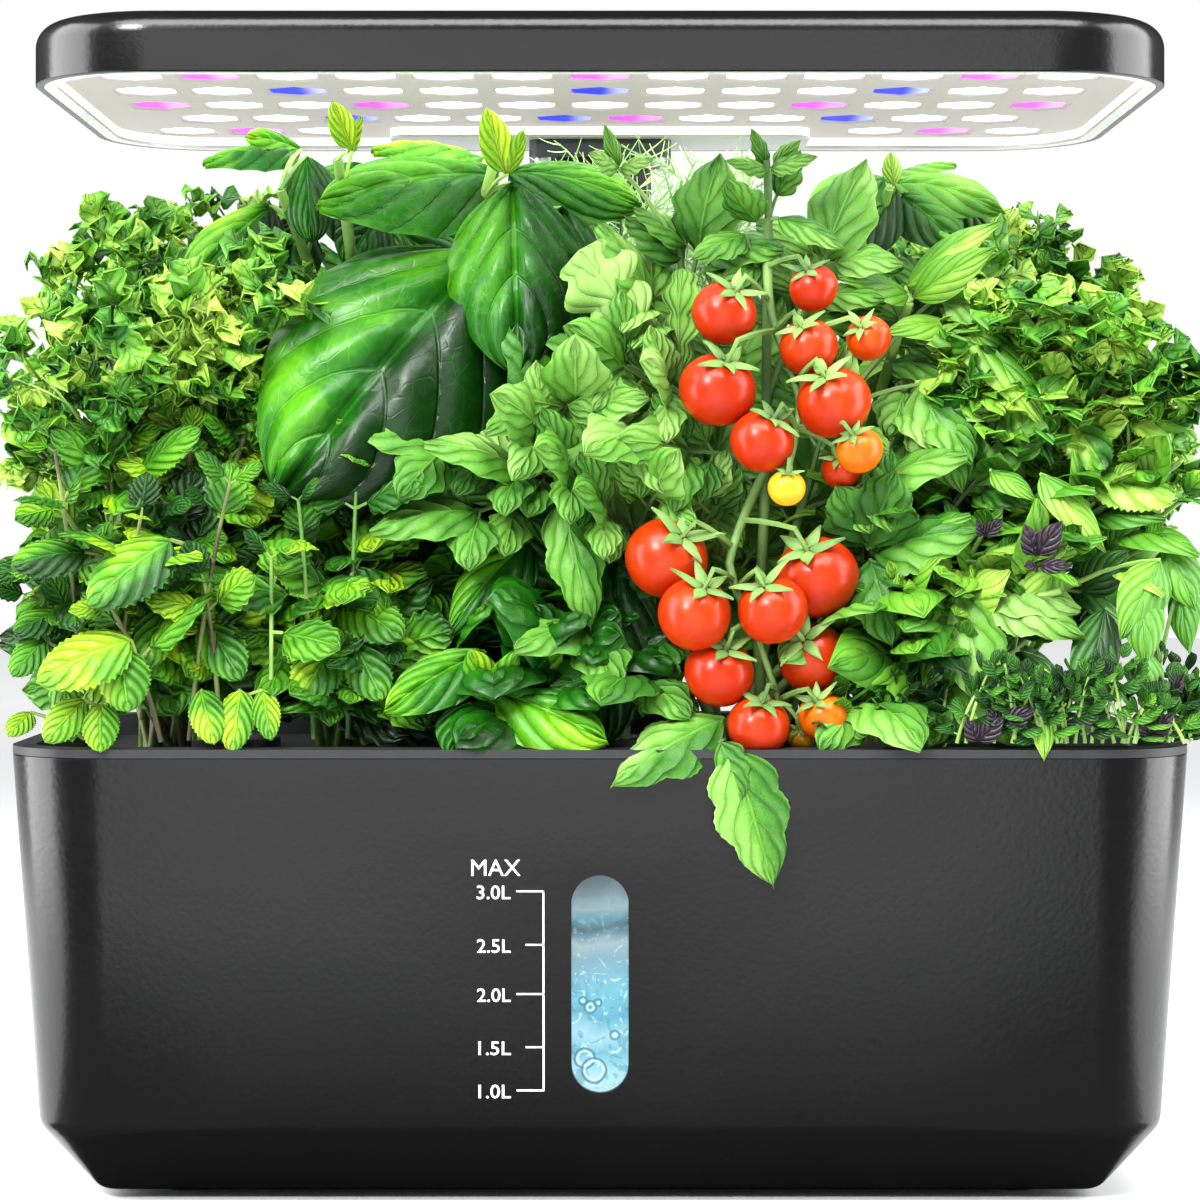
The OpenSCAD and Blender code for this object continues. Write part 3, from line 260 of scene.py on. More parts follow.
def leaf_veins_group():
    """Pinnate veins from a leaf's own map: x runs across, y from the stalk to the tip."""
    group, start, end = new_group("leaf_veins",
        [("Map", "NodeSocketVector", None), ("Pairs", "NodeSocketFloat", 7.0),
         ("Slope", "NodeSocketFloat", 0.45), ("Net", "NodeSocketFloat", 30.0)],
        [("Vein", "NodeSocketFloat"), ("Puff", "NodeSocketFloat")])
    split = group.nodes.new("ShaderNodeSeparateXYZ")
    group.links.new(start.outputs[0], split.inputs[0])
    across = math_node(group, "ABSOLUTE", math_node(group, "MULTIPLY_ADD", split.outputs[0], 2.0, -1.0))
    bow = math_node(group, "MULTIPLY", math_node(group, "POWER", across, 1.3), start.outputs[2])
    along = math_node(group, "SUBTRACT", split.outputs[1], bow)
    beat = math_node(group, "FRACT", math_node(group, "MULTIPLY_ADD", along, start.outputs[1], 8.0))
    gap = math_node(group, "MULTIPLY", math_node(group, "ABSOLUTE", math_node(group, "SUBTRACT", beat, 0.5)),
        2.0)
    side = range_node(group, gap, 0.89, 0.99)
    side = math_node(group, "MULTIPLY", side, range_node(group, across, 1.0, 0.55, 0.25, 1.0))
    middle = range_node(group, across, 0.065, 0.025)
    net = group.nodes.new("ShaderNodeTexVoronoi")
    net.feature = "DISTANCE_TO_EDGE"
    group.links.new(start.outputs[0], net.inputs["Vector"])
    group.links.new(start.outputs[3], net.inputs["Scale"])
    fine = range_node(group, net.outputs["Distance"], 0.07, 0.0, 0.0, 0.4)
    main = math_node(group, "MAXIMUM", side, middle)
    # A pale line along the leaf's edge joins the veins: a painted highlight on its rim.
    veins_and_rim_highlight = math_node(group, "MAXIMUM", math_node(group, "MAXIMUM", main, fine),
        range_node(group, across, 0.93, 0.99, 0.0, 0.55))
    puff = math_node(group, "SUBTRACT", 1.0, math_node(group, "POWER", gap, 2.4))
    puff = math_node(group, "MULTIPLY", puff, range_node(group, across, 0.0, 0.16))
    puff = math_node(group, "SUBTRACT", puff, math_node(group, "MULTIPLY", main, 0.35))
    puff = math_node(group, "SUBTRACT", puff, math_node(group, "MULTIPLY", fine, 0.10))
    group.links.new(veins_and_rim_highlight, end.inputs["Vein"])
    group.links.new(puff, end.inputs["Puff"])
    return group

def leaf_tone_group():
    """Shade of a leaf, 0 dark to 1 bright: its own tone, sunlit patches and a speckle."""
    group, start, end = new_group("leaf_tone",
        [("Where", "NodeSocketVector", None), ("Tone", "NodeSocketFloat", 0.5),
         ("Patches", "NodeSocketFloat", 0.35), ("Vein", "NodeSocketFloat", 0.0),
         ("Vein light", "NodeSocketFloat", 0.2)],
        [("Shade", "NodeSocketFloat"), ("Speckle", "NodeSocketFloat")])
    cloud = noise_node(group, start.outputs[0], 38.0, 2.0, 0.5, 0.6)
    patch = range_node(group, cloud, 0.42, 0.66, -1.0, 1.0)
    fleck = noise_node(group, start.outputs[0], 420.0, 3.0, 0.6)
    shade = math_node(group, "MULTIPLY_ADD", patch, start.outputs[2], start.outputs[1])
    shade = math_node(group, "ADD", shade, math_node(group, "MULTIPLY_ADD", fleck, 0.24, -0.12))
    shade = math_node(group, "MULTIPLY_ADD", start.outputs[3], start.outputs[4], shade, clamp=True)
    group.links.new(shade, end.inputs["Shade"])
    group.links.new(fleck, end.inputs["Speckle"])
    return group

GRAIN = moulded_grain_group()
VEINS = leaf_veins_group()
TONE = leaf_tone_group()

# ---------- Finishes ----------

def new_finish(name, color=(0.5, 0.5, 0.5), rough=0.5, **sockets):
    finish = bpy.data.materials.new(name)
    finish.use_nodes = True
    tree = finish.node_tree
    shader = tree.nodes["Principled BSDF"]
    shader.inputs["Base Color"].default_value = (*color, 1)
    shader.inputs["Roughness"].default_value = rough
    for label, value in sockets.items():
        shader.inputs[label.replace("_", " ")].default_value = value
    return finish, tree, shader

def object_place(tree):
    return tree.nodes.new("ShaderNodeTexCoord").outputs["Object"]

def own_map(tree):
    node = tree.nodes.new("ShaderNodeUVMap")
    node.uv_map = "UVMap"
    return node.outputs["UV"]

def own_value(tree, name):
    node = tree.nodes.new("ShaderNodeAttribute")
    node.attribute_name = name
    return node.outputs["Fac"]

def add_bump(tree, shader, height, strength, distance):
    bump = tree.nodes.new("ShaderNodeBump")
    bump.inputs["Strength"].default_value = strength
    bump.inputs["Distance"].default_value = distance
    tree.links.new(height, bump.inputs["Height"])
    tree.links.new(bump.outputs["Normal"], shader.inputs["Normal"])

def place_group(tree, group, **values):
    node = tree.nodes.new("ShaderNodeGroup")
    node.node_tree = group
    for label, value in values.items():
        socket = node.inputs[label.replace("_", " ")]
        if isinstance(value, (int, float)):
            socket.default_value = value
        else:
            tree.links.new(value, socket)
    return node

def moulded(name, dark, light, rough, pebbles, bump=0.25, distance=0.00012, **sockets):
    """Moulded plastic with a pebbled skin, between two close colours."""
    finish, tree, shader = new_finish(name, dark, rough, **sockets)
    grain = place_group(tree, GRAIN, Where=object_place(tree), Pebbles_per_metre=pebbles)
    tree.links.new(ramp_node(tree, grain.outputs["Tint"], [(0.3, dark), (0.7, light)]),
        shader.inputs["Base Color"])
    tree.links.new(math_node(tree, "ADD", grain.outputs["Polish"], rough - 0.09), shader.inputs["Roughness"])
    add_bump(tree, shader, grain.outputs["Height"], bump, distance)
    return finish

def floor_shadow_finish():
    """Black sheet of painted shadow that only reflections see: the floor's shade near the tank as its polish
    reflects it, thinner the further it is from the tank.
    """
    finish, tree, shader = new_finish("painted_floor_shadow", (0.004, 0.004, 0.004), 0.9, Specular_IOR_Level=0.0)
    split = tree.nodes.new("ShaderNodeSeparateXYZ")
    tree.links.new(object_place(tree), split.inputs[0])
    # Its alpha fades away from the tank: a painted shadow gradient for the tank's reflections.
    stops = ((0.0, 0.0), (0.395, 0.22), (0.62, 0.42), (0.81, 0.68), (0.92, 0.86), (0.96, 0.98))
    reach = range_node(tree, split.outputs[1], -1.40, -0.06, smooth=False)
    alpha = ramp_node(tree, reach, [(place, (grey, grey, grey)) for place, grey in stops])
    tree.links.new(alpha, shader.inputs["Alpha"])
    return finish

def metal(name, color, rough, scratch=260.0):
    """Metal with fine drawn lines along its height."""
    finish, tree, shader = new_finish(name, color, rough, Metallic=1.0)
    mapping = tree.nodes.new("ShaderNodeMapping")
    mapping.inputs["Scale"].default_value = (1.0, 1.0, 0.04)
    tree.links.new(object_place(tree), mapping.inputs["Vector"])
    lines = noise_node(tree, mapping.outputs[0], scratch * 8, 3.0, 0.6)
    tree.links.new(ramp_node(tree, lines, [(0.3, tuple(c * 0.8 for c in color)), (0.7, color)]),
        shader.inputs["Base Color"])
    tree.links.new(math_node(tree, "MULTIPLY_ADD", lines, 0.2, rough - 0.1), shader.inputs["Roughness"])
    add_bump(tree, shader, lines, 0.15, 0.00005)
    return finish

def porous(name, dark, light, scale, rough=0.95, depth=0.0006):
    """Open foam or grown fibre."""
    finish, tree, shader = new_finish(name, dark, rough)
    place = object_place(tree)
    pores = tree.nodes.new("ShaderNodeTexVoronoi")
    pores.inputs["Scale"].default_value = scale
    tree.links.new(place, pores.inputs["Vector"])
    fuzz = noise_node(tree, place, scale * 2.2, 3.0, 0.6)
    height = math_node(tree, "ADD", pores.outputs["Distance"], fuzz)
    tree.links.new(ramp_node(tree, height, [(0.5, dark), (1.1, light)]), shader.inputs["Base Color"])
    add_bump(tree, shader, height, 0.8, depth)
    return finish

def glow(name, color, strength, base):
    finish, tree, shader = new_finish(name, base, 0.3)
    shader.inputs["Emission Color"].default_value = (*color, 1)
    shader.inputs["Emission Strength"].default_value = strength
    fine = noise_node(tree, object_place(tree), 500.0, 2.0)
    tree.links.new(ramp_node(tree, fine, [(0.3, tuple(c * 0.96 for c in color)), (0.7, color)]),
        shader.inputs["Emission Color"])
    return finish

def plain_floor():
    finish, tree, shader = new_finish("pale_floor", (0.88, 0.88, 0.885), 0.55, Specular_IOR_Level=0.25)
    place = object_place(tree)
    cloud = noise_node(tree, place, 3.0, 2.0)
    tree.links.new(ramp_node(tree, cloud, [(0.3, (0.86, 0.86, 0.865)), (0.7, (0.89, 0.89, 0.895))]),
        shader.inputs["Base Color"])
    away = tree.nodes.new("ShaderNodeVectorMath")
    away.operation = "LENGTH"
    tree.links.new(place, away.inputs[0])
    shader.inputs["Emission Color"].default_value = (1, 1, 1, 1)
    tree.links.new(range_node(tree, away.outputs["Value"], 0.8, 2.4, 0.0, 0.47),
        shader.inputs["Emission Strength"])
    return finish

# Painted light behind the window, from the foot of the window to its top: bright lit water low down, a dark
# band of painted shade at the level and dim colours towards the top
WATER_TONES = [
    (0.0, (0.66, 0.93, 0.97)), (0.10, (0.42, 0.80, 0.90)), (0.19, (0.17, 0.54, 0.68)),
    (0.27, (0.42, 0.76, 0.86)), (0.35, (0.10, 0.44, 0.60)), (0.43, (0.16, 0.58, 0.72)),
    (0.52, (0.20, 0.48, 0.60)), (0.60, (0.22, 0.38, 0.46)), (0.67, (0.40, 0.48, 0.50)),
    (0.715, (0.12, 0.24, 0.29)), (0.745, (0.012, 0.045, 0.06)), (0.775, (0.07, 0.24, 0.30)),
    (0.82, (0.27, 0.38, 0.41)), (0.88, (0.14, 0.19, 0.21)), (0.94, (0.06, 0.075, 0.09)),
    (1.0, (0.03, 0.035, 0.04)),
]

def water_finish():
    """Water that glows though it is no lamp, painted light: a dark band of painted shade at the level, clear
    cyan below, with swirls, painted glints and the rims of bubbles.
    """
    finish, tree, shader = new_finish("tank_water", (0.04, 0.09, 0.11), 0.12, IOR=1.33)
    place = object_place(tree)
    flat = tree.nodes.new("ShaderNodeMapping")
    flat.inputs["Scale"].default_value = (1.0, 0.0, 1.0)
    tree.links.new(place, flat.inputs["Vector"])
    split = tree.nodes.new("ShaderNodeSeparateXYZ")
    tree.links.new(place, split.inputs[0])
    warp = noise_node(tree, flat.outputs[0], 85.0, 3.0, 0.55, 0.6)
    height = range_node(tree, split.outputs[2], 0.028, 0.083, smooth=False)
    height = math_node(tree, "MULTIPLY_ADD", math_node(tree, "SUBTRACT", warp, 0.5), 0.17, height)
    body = ramp_node(tree, height, WATER_TONES)
    swirl = range_node(tree, noise_node(tree, flat.outputs[0], 150.0, 2.0, 0.5, 3.0), 0.52, 0.60, 0.0, 0.55)
    swirl = math_node(tree, "MULTIPLY", swirl, range_node(tree, height, 0.62, 0.40))
    shade = mix_color(tree, swirl, body, (0.05, 0.30, 0.44))
    # Painted glints: pale specks of painted reflection that fade out upward.
    glint = range_node(tree, noise_node(tree, flat.outputs[0], 230.0, 2.0, 0.6, 2.5), 0.58, 0.66, 0.0, 0.75)
    glint = math_node(tree, "MULTIPLY", glint, range_node(tree, height, 0.95, 0.35))
    shade = mix_color(tree, glint, shade, (0.80, 0.98, 1.0))
    # Each bubble's rim: a dark edge of painted shade with a ring of painted highlight just inside it.
    for x, z, radius in BUBBLES:
        away = tree.nodes.new("ShaderNodeVectorMath")
        away.operation = "DISTANCE"
        tree.links.new(flat.outputs[0], away.inputs[0])
        away.inputs[1].default_value = (x * MM, 0.0, z * MM)
        gap = math_node(tree, "SUBTRACT", away.outputs["Value"], radius * MM + 0.0008)
        rim = math_node(tree, "MULTIPLY_ADD", warp, 0.0016, gap)
        dark = range_node(tree, math_node(tree, "ABSOLUTE", rim), 0.00042, 0.00012, 0.0, 0.85)
        inner = math_node(tree, "ABSOLUTE", math_node(tree, "ADD", rim, 0.0007))
        pale = range_node(tree, inner, 0.0005, 0.0001, 0.0, 0.8)
        shade = mix_color(tree, pale, shade, (0.85, 1.0, 1.0))
        shade = mix_color(tree, dark, shade, (0.02, 0.20, 0.30))
    # The colours go out as emission, so the water glows though it is no lamp: painted light.
    tree.links.new(shade, shader.inputs["Emission Color"])
    shader.inputs["Emission Strength"].default_value = 0.95
    return finish

def lens_finish(name, deep, pale, base, strength, turn):
    """A glowing lens, painted deeper on one half and paler on the other: painted shade and painted light on
    its two halves.
    """
    finish, tree, shader = new_finish(name, base, 0.5, Specular_IOR_Level=0.05)
    split = tree.nodes.new("ShaderNodeSeparateXYZ")
    tree.links.new(own_map(tree), split.inputs[0])
    # The split between the halves is painted shade and light, as on a lit and a shaded facet.
    across = range_node(tree, split.outputs[0], turn - 0.12, turn + 0.30)
    shade = mix_color(tree, across, deep, pale)
    tree.links.new(shade, shader.inputs["Base Color"])
    tree.links.new(shade, shader.inputs["Emission Color"])
    shader.inputs["Emission Strength"].default_value = strength
    return finish

FLOOR = plain_floor()
TANK_SKIN = moulded("tank_skin", (0.0022, 0.0022, 0.0024), (0.0042, 0.0043, 0.0046), 0.20, 720.0,
    0.34, 0.00012, Specular_IOR_Level=0.40)
FLOOR_SHADOW_SHEET = floor_shadow_finish()
CARD = glow("white_card", (1.0, 1.0, 1.0), 1.35, (0.8, 0.8, 0.8))
DECK_SKIN = moulded("deck_skin", (0.022, 0.0225, 0.024), (0.030, 0.0305, 0.033), 0.40, 900.0,
    0.25, Specular_IOR_Level=0.3)
LAMP_SKIN = moulded("lamp_skin", (0.0025, 0.0025, 0.0027), (0.0048, 0.0049, 0.0052), 0.18, 1100.0,
    0.30, 0.0001, Specular_IOR_Level=0.42)
FLAP_SKIN = moulded("flap_skin", (0.045, 0.046, 0.049), (0.056, 0.057, 0.060), 0.42, 900.0)
POD_SKIN = moulded("pod_skin", (0.022, 0.023, 0.025), (0.032, 0.033, 0.036), 0.45, 1200.0)
PUMP_SKIN = moulded("pump_skin", (0.012, 0.012, 0.014), (0.02, 0.02, 0.022), 0.38, 1200.0)
SOCKET_SKIN = moulded("socket_skin", (0.020, 0.021, 0.023), (0.028, 0.029, 0.032), 0.42, 1000.0)
INLET_SKIN = moulded("inlet_skin", (0.008, 0.008, 0.008), (0.014, 0.014, 0.014), 0.4, 1500.0)
WHITE_SKIN = moulded("white_skin", (0.74, 0.74, 0.73), (0.80, 0.80, 0.79), 0.38, 1500.0, 0.1)
BUTTON_SKIN = moulded("button_skin", (0.26, 0.26, 0.27), (0.32, 0.32, 0.33), 0.42, 1500.0, 0.15)
FRAME_SKIN = moulded("frame_skin", (0.55, 0.55, 0.555), (0.62, 0.62, 0.625), 0.45, 1300.0, 0.12)
# The grille glows though it is no lamp: its warm grey emission is painted light on the lamp's underside.
GRILLE_SKIN = moulded("grille_skin", (0.12, 0.115, 0.11), (0.15, 0.145, 0.14), 0.5, 1300.0, 0.12,
    Emission_Color=(0.42, 0.395, 0.37, 1), Emission_Strength=1.0, Specular_IOR_Level=0.1)
RUBBER = moulded("foot_rubber", (0.012, 0.012, 0.012), (0.02, 0.02, 0.02), 0.75, 1600.0)
LEAD_RUBBER = moulded("lead_rubber", (0.010, 0.010, 0.010), (0.016, 0.016, 0.016), 0.55, 2000.0)
BOARD_WHITE = moulded("board_white", (0.72, 0.74, 0.71), (0.80, 0.82, 0.79), 0.35, 2000.0, 0.08)
BOARD_GREEN = moulded("board_green", (0.014, 0.085, 0.03), (0.03, 0.14, 0.05), 0.35, 1500.0, 0.15)
CHIP = glow("chip_yellow", (1.0, 0.95, 0.7), 2.0, (0.85, 0.7, 0.25))
MAST_METAL = moulded("mast_coat", (0.012, 0.0125, 0.0145), (0.019, 0.020, 0.023), 0.33, 2400.0, 0.12)
STEEL = metal("bare_steel", (0.55, 0.55, 0.56), 0.32)
SINK_METAL = metal("sink_metal", (0.60, 0.61, 0.63), 0.4)
SPONGE = porous("grow_sponge", (0.035, 0.022, 0.012), (0.16, 0.10, 0.055), 900.0)
FOAM = porous("filter_foam", (0.012, 0.013, 0.016), (0.05, 0.052, 0.06), 1100.0)
GUIDE_GLOW = glow("guide_glow", (1.0, 0.955, 0.80), 1.25, (1.0, 0.97, 0.88))
PIPE_GLOW = glow("pipe_glow", (0.65, 0.85, 1.0), 0.4, (0.75, 0.85, 0.9))
WATER = water_finish()
PRINT_WHITE, _, _ = new_finish("scale_print", (0.86, 0.86, 0.86), 0.5)
LENS_WHITE = lens_finish("lens_white", (1.0, 1.0, 1.0), (1.0, 0.985, 0.96), (1, 1, 1), 2.6, 0.5)
LENS_RED = lens_finish("lens_red", (0.82, 0.08, 0.86), (0.95, 0.28, 0.97), (0.30, 0.06, 0.30), 0.95, 0.5)
LENS_BLUE = lens_finish("lens_blue", (0.030, 0.040, 0.88), (0.42, 0.40, 0.96), (0.03, 0.03, 0.30), 0.95, 0.62)

def clear_finish(name, color, rough, ior=1.45):
    finish, tree, shader = new_finish(name, color, rough, IOR=ior)
    shader.inputs["Transmission Weight"].default_value = 1.0
    smear = noise_node(tree, object_place(tree), 60.0, 3.0)
    tree.links.new(math_node(tree, "MULTIPLY_ADD", smear, 0.05, rough), shader.inputs["Roughness"])
    return finish

PANE = clear_finish("window_pane", (0.93, 0.98, 1.0), 0.02)
TUBE_CLEAR = clear_finish("tube_clear", (0.85, 0.9, 0.92), 0.12)

# ---------- Shaping and placing pieces ----------

def dress(finish, *nodes):
    for node in nodes:
        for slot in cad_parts[node].material_slots:
            slot.material = finish

def finish_piece(name, mesh, body, nodes=(), finishes=()):
    piece = bpy.data.objects.new(name, mesh)
    put_in(piece)
    for finish in finishes:
        mesh.materials.append(finish)
    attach(piece, body)
    if nodes:
        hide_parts(*nodes)
    return piece

def mesh_from(bm, name, smooth=35.0):
    """Mesh of a finished bmesh; edges turned further than the angle stay sharp."""
    limit = math.radians(smooth)
    for face in bm.faces:
        face.smooth = True
    for edge in bm.edges:
        edge.smooth = len(edge.link_faces) == 2 and edge.calc_face_angle(0.0) < limit
    mesh = bpy.data.meshes.new(name)
    bm.to_mesh(mesh)
    bm.free()
    return mesh

def new_verts(made):
    return [v for v in made if isinstance(v, bmesh.types.BMVert)]

def plan_points(w, d, r, steps):
    """Points round a rectangle with round corners, anticlockwise from the right side."""
    spots = []
    for i, (sx, sy) in enumerate(((1, 1), (-1, 1), (-1, -1), (1, -1))):
        for k in range(steps + 1):
            turn = math.radians(90) * (i + k / steps)
            spots.append((sx * (w / 2 - r) + r * math.cos(turn), sy * (d / 2 - r) + r * math.sin(turn)))
    return spots

def swept_shell(w, d, r, profile, steps=16):
    """A shell swept round a plan: the profile is a list of (inset from the plan, height)."""
    bm = bmesh.new()
    ring = bmesh.ops.create_circle(bm, segments=4 * (steps + 1), radius=1.0)["verts"]
    first = list(ring)
    for k, (inset, z) in enumerate(profile):
        if k:
            edges = [bm.edges.get((ring[i], ring[(i + 1) % len(ring)])) for i in range(len(ring))]
            out = bmesh.ops.extrude_edge_only(bm, edges=edges)["geom"]
            new = set(new_verts(out))
            ring = [next(e.other_vert(v) for e in v.link_edges if e.other_vert(v) in new) for v in ring]
        for vert, (x, y) in zip(ring, plan_points(w - 2 * inset, d - 2 * inset, r - inset, steps)):
            vert.co = (x, y, z)
    bmesh.ops.contextual_create(bm, geom=first)
    bmesh.ops.contextual_create(bm, geom=ring)
    bmesh.ops.recalc_face_normals(bm, faces=bm.faces)
    return bm

def arc(centre, radius, a0, a1, steps):
    """Points of an arc in a profile, with angles in degrees from the outward side, upward."""
    spots = []
    for k in range(steps + 1):
        turn = math.radians(a0 + (a1 - a0) * k / steps)
        spots.append((centre[0] - radius * math.cos(turn), centre[1] + radius * math.sin(turn)))
    return spots

def to_metres(bm, shift=(0, 0, 0)):
    bmesh.ops.translate(bm, verts=bm.verts, vec=shift)
    bmesh.ops.scale(bm, verts=bm.verts, vec=(MM, MM, MM))

def carve(piece, cutters):
    """Cuts the cutters' shapes out of a piece and applies the cut."""
    for cutter in cutters:
        cut = piece.modifiers.new("cut", "BOOLEAN")
        cut.operation = "DIFFERENCE"
        cut.solver = "EXACT"
        cut.object = cutter
    bpy.context.view_layer.update()
    carved = bpy.data.meshes.new_from_object(piece.evaluated_get(bpy.context.evaluated_depsgraph_get()))
    piece.modifiers.clear()
    bm = bmesh.new()
    bm.from_mesh(carved)
    bpy.data.meshes.remove(carved)
    for cutter in cutters:
        bpy.data.objects.remove(cutter)
    return bm

def loose_object(bm, name):
    mesh = bpy.data.meshes.new(name)
    bm.to_mesh(mesh)
    bm.free()
    thing = bpy.data.objects.new(name, mesh)
    put_in(thing)
    return thing

def drop(thing):
    mesh = thing.data
    bpy.data.objects.remove(thing)
    bpy.data.meshes.remove(mesh)

def front_wall(z=WINDOW_Z):
    """Frame on the leaning front wall: x across, y up the wall, z outward, in metres."""
    inset = (RIM_Z - z) * math.tan(LEAN)
    place = Matrix.Translation(Vector((0, -TANK_D / 2 + inset, z)) * MM)
    return place @ Matrix.Rotation(math.radians(90) + LEAN, 4, "X")

# ---------- Tank, its window and the scale ----------

def tank_profile():
    half = (BEVEL - LEAN) / 2
    def bends(wall):
        mid_z = KNEE_Z + wall * math.tan(half)
        floor_in = TAPER + BEVEL_IN + wall / math.cos(BEVEL) - wall * math.tan(BEVEL)
        knee_in = (RIM_Z - mid_z) * math.tan(LEAN) + wall + EDGE_R * math.cos(LEAN)
        knee = (knee_in - EDGE_R * math.tan(half) * math.sin(LEAN),
            mid_z + EDGE_R * math.tan(half) * math.cos(LEAN) + EDGE_R * math.sin(LEAN))
        foot = (floor_in + EDGE_R * math.tan((math.pi / 2 - BEVEL) / 2), FOOT_GAP + wall + EDGE_R)
        lean, bevel = math.degrees(LEAN), math.degrees(BEVEL)
        return arc(foot, EDGE_R, -90, -bevel, 8) + arc(knee, EDGE_R, -bevel, -lean, 8)
    rim = [(0.045, RIM_Z - 0.6), (0.12, RIM_Z - 0.2), (0.4, RIM_Z), (WALL - 0.3, RIM_Z), (WALL, RIM_Z - 0.3)]
    return bends(0.0) + rim + list(reversed(bends(WALL)))

def pill_cutter(name, w, h, depth):
    """A slot with half-round ends through the front wall."""
    bm = bmesh.new()
    bmesh.ops.create_circle(bm, cap_ends=True, segments=64, radius=w / 2 * MM)
    for vert in bm.verts:
        vert.co.y += math.copysign((h - w) / 2 * MM, vert.co.y) if abs(vert.co.y) > 1e-7 else 0.0
        vert.co.z = -depth * MM
    out = bmesh.ops.extrude_face_region(bm, geom=bm.faces[:])["geom"]
    bmesh.ops.translate(bm, verts=new_verts(out), vec=(0, 0, 2 * depth * MM))
    bmesh.ops.recalc_face_normals(bm, faces=bm.faces)
    bmesh.ops.transform(bm, matrix=front_wall(), verts=bm.verts)
    return loose_object(bm, name)

def make_tank():
    bm = swept_shell(TANK_W, TANK_D, TANK_R, tank_profile(), 20)
    to_metres(bm)
    blank = loose_object(bm, "tank_blank")
    bm = carve(blank, [pill_cutter("slot_cutter", WINDOW_W, WINDOW_H, 6.0)])
    drop(blank)
    half, front, low, high = 0.009, -0.074, 0.02, 0.09
    def round_slot(vert):
        return abs(vert.co.x) < half and vert.co.y < front and low < vert.co.z < high
    rim_edges = [e for e in bm.edges if e.calc_face_angle(0.0) > 0.9 and round_slot(e.verts[0])
        and e.verts[1].co.y < front and e.calc_length() < 0.04]
    bmesh.ops.bevel(bm, geom=rim_edges, offset=0.00035, segments=2, profile=0.5, affect="EDGES",
        material=-1, clamp_overlap=True)
    finish_piece("tank_shell", mesh_from(bm, "tank_shell", 20.0), "reservoir", ["reservoir"],
        [TANK_SKIN])

def make_water():
    """The water behind the window, with a rippled top."""
    bm = bmesh.new()
    bmesh.ops.create_grid(bm, x_segments=10, y_segments=30, size=0.5)
    bmesh.ops.scale(bm, verts=bm.verts, vec=(WINDOW_W + 4, WINDOW_H + 4, 1))
    for vert in bm.verts:
        ripple = 0.25 * math.sin(vert.co.x * 0.9 + vert.co.y * 0.5) * math.cos(vert.co.y * 0.35)
        vert.co.z = -WALL - 2.6 - ripple
    out = bmesh.ops.extrude_face_region(bm, geom=bm.faces[:])["geom"]
    for vert in new_verts(out):
        vert.co.z = -WALL - 10.0
    bmesh.ops.recalc_face_normals(bm, faces=bm.faces)
    to_metres(bm)
    bmesh.ops.transform(bm, matrix=front_wall(), verts=bm.verts)
    finish_piece("tank_water", mesh_from(bm, "tank_water"), "reservoir", finishes=[WATER])

def scale_bar(bm, x, y, w, h):
    bar = bmesh.ops.create_cube(bm, size=1.0)["verts"]
    bmesh.ops.scale(bm, verts=bar, vec=(w, h, 0.08))
    bmesh.ops.translate(bm, verts=bar, vec=(x, y, 0.02))

def scale_word(bm, word, x, y, height, width, bold=0.006):
    """A word of the printed scale, its lower left corner at x, y."""
    curve = bpy.data.curves.new("word", "FONT")
    curve.body = word
    curve.size = 1.0
    curve.offset = bold
    curve.extrude = 0.01
    curve.resolution_u = 3
    text = bpy.data.objects.new("word", curve)
    put_in(text)
    bpy.context.view_layer.update()
    mesh = bpy.data.meshes.new_from_object(text.evaluated_get(bpy.context.evaluated_depsgraph_get()))
    bpy.data.objects.remove(text)
    bpy.data.curves.remove(curve)
    co = np.empty(len(mesh.vertices) * 3)
    mesh.vertices.foreach_get("co", co)
    co = co.reshape(-1, 3)
    lo, hi = co.min(0), co.max(0)
    co = (co - lo) / (hi - lo) * (width, height, 0.08) + (x, y, -0.02)
    mesh.vertices.foreach_set("co", co.ravel())
    bm.from_mesh(mesh)
    bpy.data.meshes.remove(mesh)

def make_scale():
    """Level marks and their numbers, printed on the front wall."""
    bm = bmesh.new()
    def up(z):
        return (z - WINDOW_Z) / math.cos(LEAN)
    line_x, line_w = -13.6, 0.42
    scale_bar(bm, line_x, up(53.75), line_w, up(78.1) - up(29.3))
    marks = ((77.95, -19.9, "3.0L"), (64.95, -17.7, "2.5L"), (53.0, -19.9, "2.0L"), (40.05, -17.7, "1.5L"),
        (29.5, -19.9, "1.0L"))
    for z, x, word in marks:
        scale_bar(bm, (x + line_x) / 2, up(z), line_x - x + line_w, line_w)
        left, width = (-29.3, 7.8) if word[0] == "1" else (-29.6, 8.1)
        scale_word(bm, word, left, up(z) - 1.95, 3.35, width)
    scale_word(bm, "MAX", -30.9, up(81.7), 3.9, 11.8, 0.0)
    to_metres(bm)
    bmesh.ops.transform(bm, matrix=front_wall(), verts=bm.verts)
    finish_piece("level_scale", mesh_from(bm, "level_scale"), "reservoir",
        finishes=[PRINT_WHITE])

# ---------- Lamp ----------

